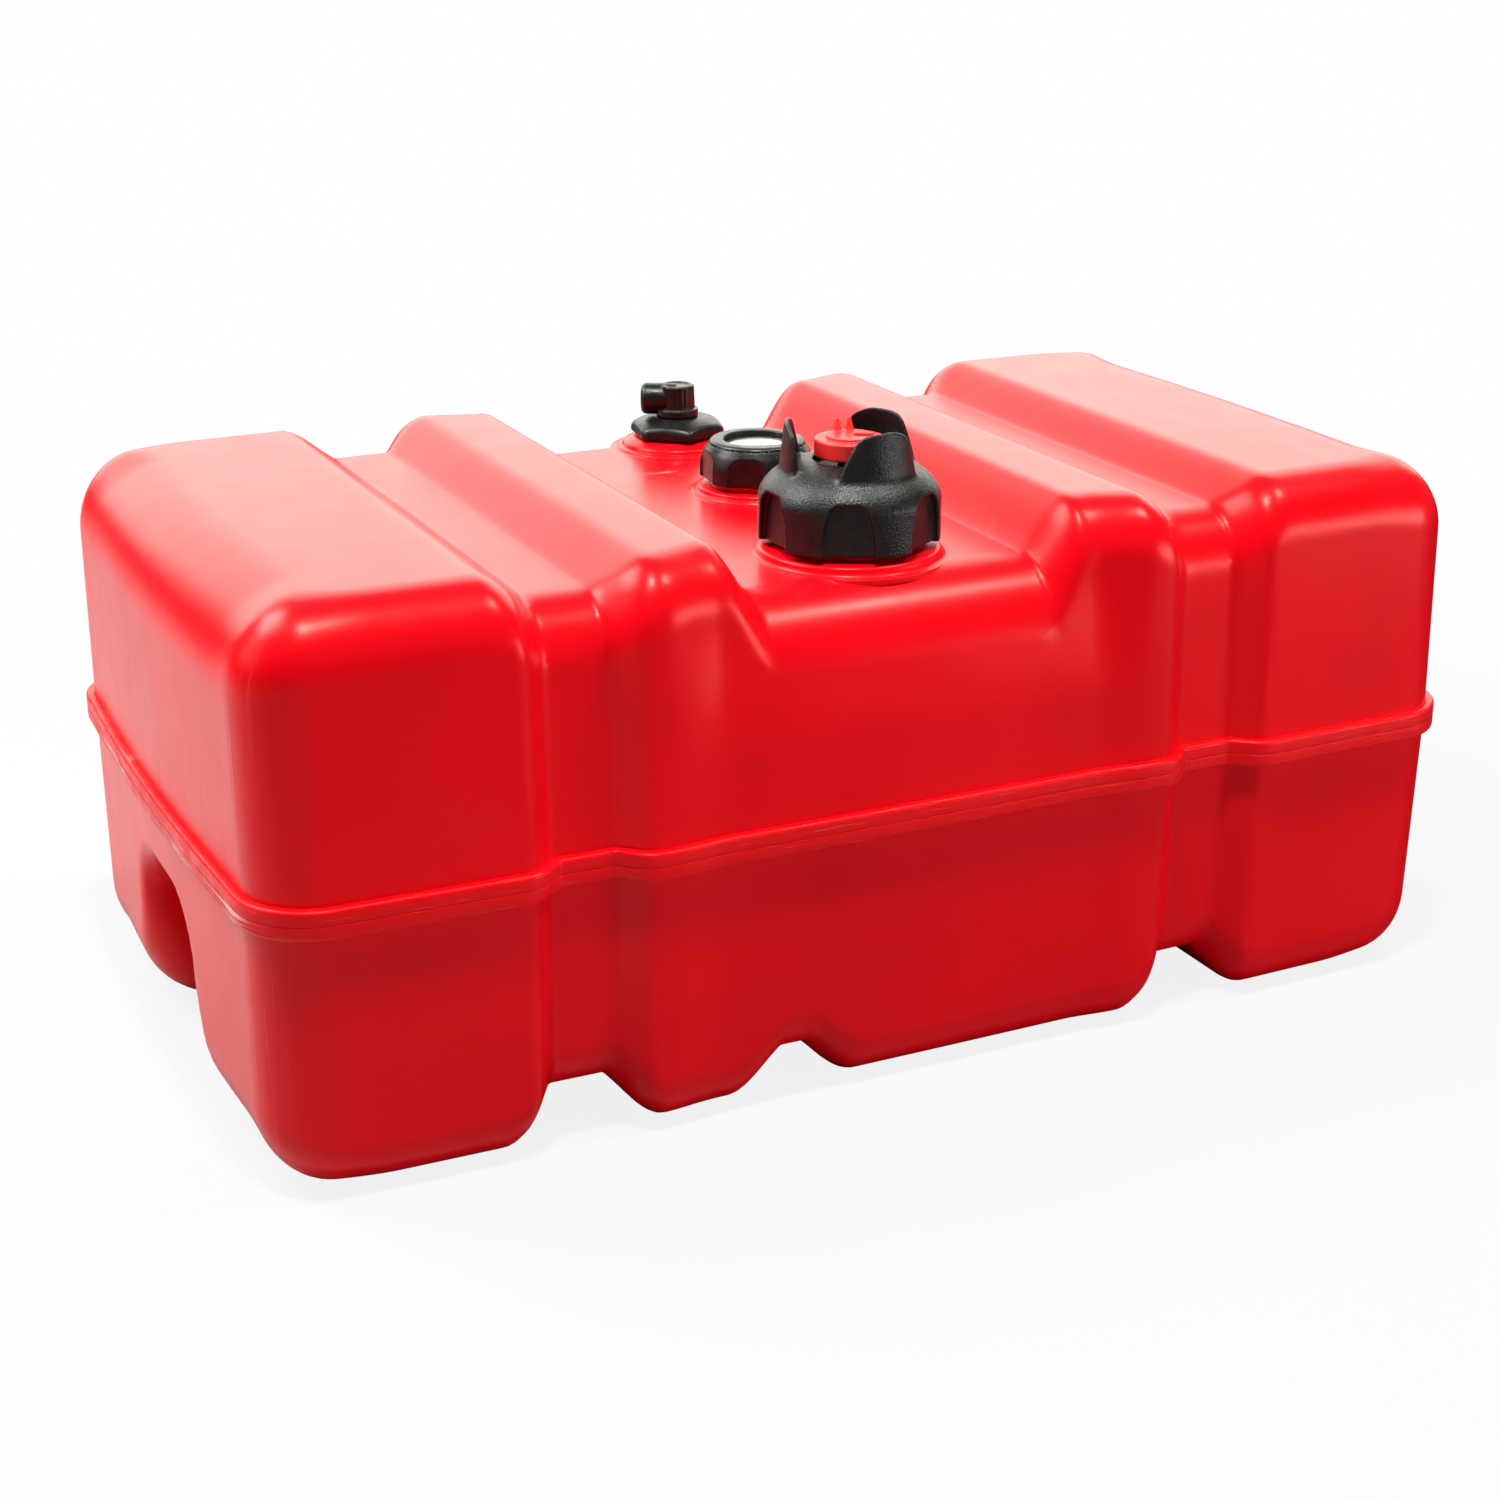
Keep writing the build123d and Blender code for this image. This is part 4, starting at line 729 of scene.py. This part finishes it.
def belt(material):
    """Parting belt: rounded edges and the fine line where the mould's halves met."""
    half, line = BELT_THICKNESS / 2, PARTING_LINE_WIDTH / 2
    line_floor, line_reach = line * PARTING_LINE_FLOOR, BELT_PROUD - PARTING_LINE_DEPTH
    profile = rounded((
        (-BELT_ROOT, -half, 0), (BELT_PROUD, -half, BELT_EDGE), (BELT_PROUD, -line, PARTING_LINE_EDGE),
        (line_reach, -line_floor, 0), (line_reach, line_floor, 0),
        (BELT_PROUD, line, PARTING_LINE_EDGE), (BELT_PROUD, half, BELT_EDGE), (-BELT_ROOT, half, 0)))
    even, outward = plan_outline(BELT_STEP)
    rings = [[(*(place + out * reach), BELT_MIDDLE + height) for reach, height in profile]
             for place, out in zip(even, outward)]
    points, faces = loops(rings)
    piece("parting_belt", points, faces, "tank", material, "tank_red", "tank_shell")


def neck(name, place, bore, radius, top, pitch, boss, material):
    """Moulded neck with a thread, on its boss, whose foot runs out into the deck."""
    foot, boss_top = boss[0][0], boss[-1][1]
    thread_start, thread_stop = boss_top + THREAD_MARGIN, top - THREAD_MARGIN
    corners = [(bore, -WALL - NECK_ROOT, NECK_ROOT_EDGE), (foot, -WALL + NECK_FOOT_RISE, NECK_ROOT_EDGE)]
    corners += [*boss, (radius, boss_top, NECK_FILLET)]
    corners += [(radius, height, 0) for height in np.arange(thread_start, thread_stop, pitch / THREAD_POINTS)]
    corners += [(radius, top, NECK_LIP_EDGE), (bore, top, NECK_LIP_EDGE)]

    def radius_at(outline, angle):
        reach, height = outline.T
        on_thread = np.abs(reach - radius) < 1e-6
        run_in = smooth_step((height - thread_start) / THREAD_RUN)
        run_out = smooth_step((thread_stop - height) / THREAD_RUN)
        wave = 0.5 - 0.5 * np.cos(2 * pi * height / pitch - angle)
        return reach - THREAD_DEPTH * wave * run_in * run_out * on_thread

    points, faces = lathe(rounded(corners), *place, NECK_TURNS, radius_at)
    piece(name, points, faces, "tank", material, "tank_red", "tank_shell")


def necks(material):
    for name, size in NECKS.items():
        neck(name, *size, material)


def fitting(name, field, place, radius, bottom, top, step, body, material, slot, node):
    """A fitting's mesh from its field, which is drawn about its own axis with heights above the deck."""
    room = FITTING_ROOM * step
    low = (-radius - room, -radius - room, bottom - room)
    high = (radius + room, radius + room, top + room)
    points, faces = skin(field, low, high, step)
    points += np.array((*place, DECK))
    piece(name, points, faces, body, material, slot, node)


# Materials

RED = (0.72, 0.0012, 0.0075, 1)
RED_DEEP = (0.66, 0.0008, 0.0060, 1)
RED_SCUFFED = (0.86, 0.30, 0.27, 1)
RED_TORN = (0.92, 0.62, 0.58, 1)
RED_TINT = (1.0, 0.22, 0.19, 1)
PAPER_DARK = (0.80, 0.77, 0.70, 1)
PAPER_LIGHT = (0.86, 0.84, 0.78, 1)
INK = (0.10, 0.09, 0.08, 1)

NOISE_SPAN = (0.3, 0.7)      # nearly all of a noise's values lie in this span, and most in the next
CLOUD_SPAN = (0.35, 0.65)
BODY_ROUGH = (0.275, 0.300)
BELT_ROUGH = (0.34, 0.48)
MARK_ROUGH = 0.5             # how much rougher the body is where a mark is wholly pale
METAL_DARK = 0.8

# Marks on the body: where they begin and where they are full, in millimetres, and how pale they are
END_DRAGS = (300.0, 312.0)
END_DRAG_SHARE = 0.10
DECK_SCUFF_HEIGHT = (205.0, 225.0)
DECK_SCUFF_REACH = (85.0, 60.0)
DECK_SCUFF_SHARE = 0.5
TRIM_END = (-295.0, -318.0)
TRIM_HEIGHT = (138.5, 136.5)
TRIM_SHARE = 0.75
HAIR_SHARE = 0.12

# Depths of relief in the shaders, in metres
BODY_WAVES = 0.0006
BODY_DRAGS = 0.00012
BODY_GRAIN = 0.00003
BELT_TEARS = 0.00010
BELT_LINES = 0.00012
METAL_LINES = 0.00002
LENS_WAVES = 0.00001
PAPER_GRAIN = 0.00002
SCREEN_WEAVE = 0.00008


class Tree:
    """The node tree of a material or a world, and short ways to add to it."""

    def __init__(self, owner):
        owner.use_nodes = True
        self.nodes = owner.node_tree.nodes
        self.links = owner.node_tree.links

    def feed(self, socket, value):
        if isinstance(value, bpy.types.NodeSocket):
            self.links.new(value, socket)
        else:
            socket.default_value = value

    def math(self, kind, a, b=0.0):
        node = self.nodes.new("ShaderNodeMath")
        node.operation = kind
        self.feed(node.inputs[0], a)
        self.feed(node.inputs[1], b)
        return node.outputs[0]

    def span(self, value, low, high, to_low=0.0, to_high=1.0, kind="SMOOTHSTEP"):
        """From to_low at the value low to to_high at the value high, and level beyond them."""
        node = self.nodes.new("ShaderNodeMapRange")
        node.interpolation_type = kind
        self.feed(node.inputs["Value"], value)
        for key, number in (("From Min", low), ("From Max", high), ("To Min", to_low), ("To Max", to_high)):
            node.inputs[key].default_value = number
        return node.outputs["Result"]

    def between(self, place, none, full):
        """0 up to a place and 1 from another on, both in millimetres."""
        return self.span(place, none * MM, full * MM)

    def mix(self, share, a, b):
        node = self.nodes.new("ShaderNodeMix")
        node.data_type = "RGBA"
        self.feed(node.inputs["Factor"], share)
        self.feed(node.inputs[6], a)
        self.feed(node.inputs[7], b)
        return node.outputs[2]

    def rays(self, kind):
        """1 for the rays of one kind."""
        return self.nodes.new("ShaderNodeLightPath").outputs[f"Is {kind} Ray"]

    def seen(self):
        """1 for the rays that should see a white background."""
        return self.math("MAXIMUM", self.rays("Camera"), self.rays("Transmission"))


class Shader(Tree):
    """A Principled material and the nodes that feed it."""

    def __init__(self, name, **values):
        self.material = bpy.data.materials.new(name)
        super().__init__(self.material)
        self.shader = self.nodes["Principled BSDF"]
        self.place = self.nodes.new("ShaderNodeTexCoord").outputs["Object"]
        for key, value in values.items():
            self.shader.inputs[key.replace("_", " ")].default_value = value

    def noise(self, scale, detail, stretch=(1, 1, 1), rough=0.5):
        """A noise whose lines run along the axes where its stretch is small."""
        node = self.nodes.new("ShaderNodeTexNoise")
        node.inputs["Scale"].default_value = scale
        node.inputs["Detail"].default_value = detail
        node.inputs["Roughness"].default_value = rough
        place = self.place
        if stretch != (1, 1, 1):
            mapping = self.nodes.new("ShaderNodeMapping")
            mapping.inputs["Scale"].default_value = stretch
            self.links.new(place, mapping.inputs["Vector"])
            place = mapping.outputs["Vector"]
        self.links.new(place, node.inputs["Vector"])
        return node.outputs["Fac"]

    def axis(self, name):
        node = self.nodes.new("ShaderNodeSeparateXYZ")
        self.links.new(self.place, node.inputs[0])
        return node.outputs[name]

    def bump(self, height, distance, under=None):
        node = self.nodes.new("ShaderNodeBump")
        node.inputs["Distance"].default_value = distance
        self.links.new(height, node.inputs["Height"])
        if under is not None:
            self.links.new(under, node.inputs["Normal"])
        self.links.new(node.outputs["Normal"], self.shader.inputs["Normal"])
        return node.outputs["Normal"]

    def set(self, name, value):
        self.feed(self.shader.inputs[name], value)

    def wander(self, scale, detail, low, high):
        """Roughness that wanders between two values."""
        self.set("Roughness", self.span(self.noise(scale, detail), *NOISE_SPAN, low, high))


def clouded_red(s):
    return s.mix(s.span(s.noise(9, 2), *CLOUD_SPAN), RED_DEEP, RED)


def tank_red(name):
    """Moulded polyethylene: soft waviness, fine grain, drag lines on the ends and scuffs on the deck."""
    s = Shader(name, IOR=1.5, Specular_Tint=RED_TINT)
    from_middle = s.math("ABSOLUTE", s.axis("X"))
    drag_lines = s.span(s.noise(1, 2, stretch=(60, 420, 9), rough=0.6), 0.60, 0.78)
    drags = s.math("MULTIPLY", drag_lines, s.between(from_middle, *END_DRAGS))
    on_deck = s.math("MULTIPLY", s.between(s.axis("Z"), *DECK_SCUFF_HEIGHT),
                     s.between(from_middle, *DECK_SCUFF_REACH))
    rubbed = s.span(s.noise(1, 5, stretch=(26, 70, 26), rough=0.7), 0.585, 0.72)
    patch = s.span(s.noise(13, 1), 0.50, 0.62)
    scuffs = s.math("MULTIPLY", s.math("MULTIPLY", on_deck, rubbed), patch)
    share = s.math("MAXIMUM", s.math("MULTIPLY", scuffs, DECK_SCUFF_SHARE),
                   s.math("MULTIPLY", drags, END_DRAG_SHARE))
    s.set("Base Color", s.mix(share, clouded_red(s), RED_SCUFFED))
    rough = s.span(s.noise(45, 3), *NOISE_SPAN, *BODY_ROUGH)
    s.set("Roughness", s.math("ADD", rough, s.math("MULTIPLY", share, MARK_ROUGH)))
    under = s.bump(s.noise(6, 1), BODY_WAVES)
    under = s.bump(drags, BODY_DRAGS, under)
    s.bump(s.noise(1500, 2), BODY_GRAIN, under)
    return s.material


def belt_red(name):
    """The parting belt: as the body, with whitish trimming marks and fine scratches along it."""
    s = Shader(name, IOR=1.5, Specular_Tint=RED_TINT)
    on_trim = s.math("MULTIPLY", s.between(s.axis("X"), *TRIM_END), s.between(s.axis("Z"), *TRIM_HEIGHT))
    torn = s.span(s.noise(1, 6, stretch=(60, 16, 620), rough=0.7), 0.50, 0.62)
    worn = s.span(s.noise(1, 2, stretch=(5, 14, 5)), 0.42, 0.56)
    trimmed = s.math("MULTIPLY", on_trim, s.math("MULTIPLY", torn, worn))
    hair = s.span(s.noise(1, 3, stretch=(30, 30, 1500), rough=0.7), 0.62, 0.74)
    share = s.math("MAXIMUM", s.math("MULTIPLY", trimmed, TRIM_SHARE), s.math("MULTIPLY", hair, HAIR_SHARE))
    s.set("Base Color", s.mix(share, clouded_red(s), RED_TORN))
    s.wander(80, 4, *BELT_ROUGH)
    under = s.bump(trimmed, BELT_TEARS)
    s.bump(s.noise(1, 3, stretch=(60, 60, 900), rough=0.6), BELT_LINES, under)
    return s.material


def plastic(name, low, high, rough, grain, depth, **values):
    """A moulded plastic or rubber whose colour and roughness vary a little, with a fine grain."""
    s = Shader(name, **values)
    s.set("Base Color", s.mix(s.span(s.noise(90, 4), *CLOUD_SPAN), (*low, 1), (*high, 1)))
    s.wander(220, 4, rough - 0.05, rough + 0.06)
    s.bump(s.noise(grain, 3), depth)
    return s.material


def metal(name, color, rough, stretch):
    """Drawn or rolled metal with fine lines along it."""
    s = Shader(name, Metallic=1.0)
    lines = s.noise(1, 4, stretch, rough=0.6)
    s.set("Base Color", s.mix(lines, (*[c * METAL_DARK for c in color], 1), (*color, 1)))
    s.set("Roughness", s.span(lines, *NOISE_SPAN, rough - 0.06, rough + 0.08))
    s.bump(lines, METAL_LINES)
    return s.material


def clear_plastic(name):
    """The gauge's window, with a faint haze."""
    s = Shader(name, IOR=1.49, Transmission_Weight=1.0, Base_Color=(0.97, 0.98, 0.97, 1))
    s.set("Roughness", s.span(s.noise(160, 4), 0.4, 0.8, 0.02, 0.10))
    s.bump(s.noise(500, 2), LENS_WAVES)
    return s.material


def dial_face(name):
    """Pale dial with plain division marks round its edge."""
    s = Shader(name)
    x = s.math("SUBTRACT", s.axis("X"), GAUGE[0] * MM)
    y = s.math("SUBTRACT", s.axis("Y"), GAUGE[1] * MM)
    radius = s.math("SQRT", s.math("ADD", s.math("MULTIPLY", x, x), s.math("MULTIPLY", y, y)))
    angle = s.math("DIVIDE", s.math("ARCTAN2", y, x), 2 * pi / DIAL_DIVISIONS)
    off = s.math("ABSOLUTE", s.math("SUBTRACT", angle, s.math("ROUND", angle)))
    in_ring = s.math("MULTIPLY", s.between(radius, *DIAL_MARK_INNER), s.between(radius, *DIAL_MARK_OUTER))
    mark = s.math("MULTIPLY", s.between(s.math("MULTIPLY", off, radius), *DIAL_MARK_SIDES), in_ring)
    paper = s.mix(s.noise(300, 3), PAPER_DARK, PAPER_LIGHT)
    s.set("Base Color", s.mix(mark, paper, INK))
    s.wander(400, 3, 0.45, 0.6)
    s.bump(s.noise(1200, 2), PAPER_GRAIN)
    return s.material


def woven_screen(name):
    """Fine plastic screen of the strainer."""
    s = Shader(name, Base_Color=(0.70, 0.69, 0.64, 1))
    s.wander(200, 3, 0.5, 0.65)
    s.bump(s.noise(2600, 1), SCREEN_WEAVE)
    return s.material


# Stage

CAMERA_PLACE = (-0.54987, -1.13508, 0.58182)
CAMERA_TURN = 0.448          # from +Y towards +X
CAMERA_DIP = 0.3574
CAMERA_ROLL = 0.0009
CAMERA_LENS = 61.25
CAMERA_SENSOR = 36.0

WHITE = (1, 1, 1, 1)
WORLD_GREY = (0.08, 0.08, 0.09, 1)
KEY_COLOR = (1, 0.98, 0.92)
SHEEN_COLOR = (1, 0.98, 0.88)

FLOOR_HALF = 6000.0
FLOOR_GREY = (0.42, 0.42, 0.42, 1)
FLOOR_NEAR = 0.45            # the seen floor grows from nearly white here to white at FLOOR_FAR, in metres
FLOOR_FAR = 0.95
FLOOR_NEAR_WHITE = 0.86
# Painted reflection shade: towards the right, the floor is painted black for glossy rays only, and these set
# where.
REFLECTION_SHADE_REACH = 1.0             # in metres along X to both sides
REFLECTION_SHADE_STOPS = ((0.32, 0.0), (0.37, 0.45), (0.52, 0.93), (0.72, 1.0))  # place in that reach, and share


def camera():
    data = bpy.data.cameras.new("camera")
    data.lens = CAMERA_LENS
    data.sensor_width = CAMERA_SENSOR
    data.sensor_fit = "HORIZONTAL"
    made = placed("camera", data)
    ahead = Vector((sin(CAMERA_TURN) * cos(CAMERA_DIP), cos(CAMERA_TURN) * cos(CAMERA_DIP), -sin(CAMERA_DIP)))
    right = Vector((cos(CAMERA_TURN), -sin(CAMERA_TURN), 0))
    up = right.cross(ahead)
    turn = Matrix((right, up, -ahead)).transposed() @ Matrix.Rotation(CAMERA_ROLL, 3, "Z")
    made.matrix_world = Matrix.Translation(CAMERA_PLACE) @ turn.to_4x4()
    bpy.context.scene.camera = made


def softbox(name, place, target, width, height, radiance, color=(1, 1, 1), sheen_only=False):
    """A rectangular lamp; one for sheen only shows in reflections and doesn't light what is matt."""
    data = bpy.data.lights.new(name, "AREA")
    data.shape = "RECTANGLE"
    data.size = width
    data.size_y = height
    data.energy = radiance * pi * width * height
    data.color = color
    made = placed(name, data)
    made.location = place
    made.rotation_euler = (Vector(target) - Vector(place)).to_track_quat("-Z", "Y").to_euler()
    made.visible_camera = False
    made.visible_diffuse = not sheen_only


def world():
    made = bpy.data.worlds.new("studio")
    bpy.context.scene.world = made
    tree = Tree(made)
    tree.feed(tree.nodes["Background"].inputs["Color"], tree.mix(tree.seen(), WORLD_GREY, WHITE))


def floor_reflection_shade(s):
    """How far the floor is painted black in reflections, a painted shade in what the body reflects: not at
    all on the left, wholly on the right.
    """
    ramp = s.nodes.new("ShaderNodeValToRGB")
    s.feed(ramp.inputs["Fac"], s.span(s.axis("X"), -REFLECTION_SHADE_REACH, REFLECTION_SHADE_REACH, kind="LINEAR"))
    elements = ramp.color_ramp.elements
    elements[0].position = REFLECTION_SHADE_STOPS[0][0]
    elements[1].position = REFLECTION_SHADE_STOPS[-1][0]
    for stop, _value in REFLECTION_SHADE_STOPS[1:-1]:
        elements.new(stop)
    for element, (_stop, value) in zip(elements, REFLECTION_SHADE_STOPS):
        element.color = (value, value, value, 1)
    return ramp.outputs["Color"]


def mixed_shaders(s, share, a, b=None):
    """One shader turning into another, or into black where there is no other."""
    node = s.nodes.new("ShaderNodeMixShader")
    s.links.new(share, node.inputs[0])
    s.links.new(a, node.inputs[1])
    if b is not None:
        s.links.new(b, node.inputs[2])
    return node.outputs[0]


def floor():
    corners = [(FLOOR_HALF * x, FLOOR_HALF * y, 0) for x, y in ((-1, -1), (1, -1), (1, 1), (-1, 1))]
    made = placed("floor", drawn("floor", corners, [(0, 1, 2, 3)]))
    s = Shader("floor_white", Base_Color=FLOOR_GREY, Roughness=0.9, Specular_IOR_Level=0.1)
    glow = s.nodes.new("ShaderNodeEmission")
    distance = s.nodes.new("ShaderNodeVectorMath")
    distance.operation = "LENGTH"
    s.links.new(s.place, distance.inputs[0])
    white = s.span(distance.outputs["Value"], FLOOR_NEAR, FLOOR_FAR, FLOOR_NEAR_WHITE, 1.0)
    # Painted shade in reflections: glossy rays see the floor painted black towards the right.
    reflection_shaded = mixed_shaders(s, s.math("MULTIPLY", s.rays("Glossy"), floor_reflection_shade(s)), s.shader.outputs[0])
    surface = mixed_shaders(s, s.math("MULTIPLY", s.seen(), white), reflection_shaded, glow.outputs[0])
    s.links.new(surface, s.nodes["Material Output"].inputs["Surface"])
    made.data.materials.append(s.material)


RED_PLASTIC = tank_red("tank_red_satin")
BLACK = plastic("black_satin", (0.0045, 0.0042, 0.0042), (0.0085, 0.0078, 0.0078), rough=0.38,
                grain=1000, depth=0.00028, Specular_IOR_Level=0.36)
BLACK_SMOOTH = plastic("black_smooth", (0.0045, 0.0042, 0.0042), (0.0075, 0.007, 0.007), rough=0.32,
                       grain=1600, depth=0.00008, Specular_IOR_Level=0.34)
BUTTON_RED = plastic("button_red", (0.66, 0.012, 0.012), (0.74, 0.020, 0.018), rough=0.42,
                     grain=1500, depth=0.00004)
RUBBER = plastic("black_rubber", (0.013, 0.013, 0.013), (0.022, 0.022, 0.022), rough=0.68,
                 grain=900, depth=0.00008)
FOAM = plastic("float_foam", (0.045, 0.035, 0.028), (0.075, 0.060, 0.050), rough=0.78,
               grain=700, depth=0.00030)
NATURAL = plastic("natural_polyethylene", (0.74, 0.72, 0.66), (0.80, 0.78, 0.73), rough=0.42,
                  grain=900, depth=0.00005, Subsurface_Weight=0.15, Subsurface_Radius=(0.004, 0.004, 0.003))
POINTER = plastic("pointer_red", (0.60, 0.020, 0.015), (0.68, 0.030, 0.020), rough=0.40,
                  grain=1400, depth=0.00003)
STEEL = metal("drawn_steel", (0.62, 0.62, 0.63), rough=0.26, stretch=(500, 500, 20))
ALUMINIUM = metal("rolled_aluminium", (0.76, 0.76, 0.78), rough=0.32, stretch=(400, 400, 30))
CAD_FINISHES = {
    "cap_core": BLACK_SMOOTH, "cap_gasket": RUBBER, "vent_spring": STEEL, "vent_seal": RUBBER,
    "vent_push_nut": STEEL, "lens_seal": RUBBER, "gauge_lens": clear_plastic("lens_clear"),
    "gauge_dial": dial_face("dial_face"), "gauge_pointer": POINTER, "gauge_head": BLACK_SMOOTH,
    "gauge_gasket": RUBBER, "guide_rods": STEEL, "gauge_foot": BLACK_SMOOTH, "twisted_strip": ALUMINIUM,
    "gauge_float": FOAM, "pickup_gasket": RUBBER, "pickup_stem": BLACK_SMOOTH, "pickup_o_ring": RUBBER,
    "dip_tube": NATURAL, "strainer": woven_screen("strainer_screen"),
}


def finish_cad_nodes():
    for node, material in CAD_FINISHES.items():
        materials = frame["nodes"][node].data.materials
        for k in range(len(materials)):
            materials[k] = material


body_shell(RED_PLASTIC)
belt(belt_red("belt_red_satin"))
necks(RED_PLASTIC)
fitting("cap_cover", cap_field, FILLER, CAP_RADIUS, CAP_BOTTOM, FIN_TOP, CAP_STEP,
        "cap", BLACK, "black_plastic", "filler_cap")
fitting("release_disc", button_field, FILLER, BUTTON_RADIUS, STEM_TIP_BOTTOM, BUTTON_TOP + PRONG_HEIGHT,
        BUTTON_STEP, "release_button", BUTTON_RED, "button_red", "vent_button")
fitting("gauge_hand_nut", ring_field, GAUGE, RING_RADIUS, RING_BOTTOM, RING_TOP, RING_STEP,
        "gauge_nut", BLACK_SMOOTH, "black_plastic", "gauge_ring")
fitting("pickup_hex_nut", nut_field, PICKUP, NUT_RADIUS, NUT_BOTTOM, NUT_TOP, NUT_STEP,
        "tank", BLACK_SMOOTH, "black_plastic", "pickup_nut")
fitting("pickup_swivel", elbow_field, PICKUP, PORT_REACH, SPIGOT_BOTTOM, PORT_AXIS + PORT_RADIUS, ELBOW_STEP,
        "elbow", BLACK_SMOOTH, "black_plastic", "pickup_elbow")
finish_cad_nodes()

camera()
world()
floor()
softbox("back_sheen", place=(0.9, 2.3, 1.35), target=(0.1, 0, 0.2), width=5.2, height=2.1,
        radiance=2.1, color=SHEEN_COLOR, sheen_only=True)
softbox("back_wall", place=(0.9, 2.35, 1.35), target=(0.1, 0, 0.2), width=5.2, height=2.1,
        radiance=0.6, color=SHEEN_COLOR)
softbox("over_key", place=(-0.32, -0.55, 2.4), target=(0, 0, 0.2), width=0.20, height=0.20,
        radiance=470.0, color=KEY_COLOR)
softbox("right_key", place=(1.0, -0.5, 2.2), target=(0, 0, 0.2), width=0.20, height=0.20,
        radiance=190.0, color=KEY_COLOR)
softbox("left_floor", place=(-1.0, 0.6, 1.5), target=(-0.55, 0.25, 0), width=0.8, height=0.8, radiance=18.0)
softbox("left_high", place=(-1.7, 0.5, 1.0), target=(-0.2, 0, 0.2), width=1.0, height=0.8, radiance=2.0)
softbox("right_low", place=(1.3, -1.2, 0.30), target=(0.3, -0.1, 0.05), width=0.8, height=0.4, radiance=10.0)
softbox("front_soft", place=(0.1, -2.6, 1.5), target=(0, 0, 0.1), width=1.2, height=0.8, radiance=0.3)

bpy.context.scene.view_settings.view_transform = "Standard"
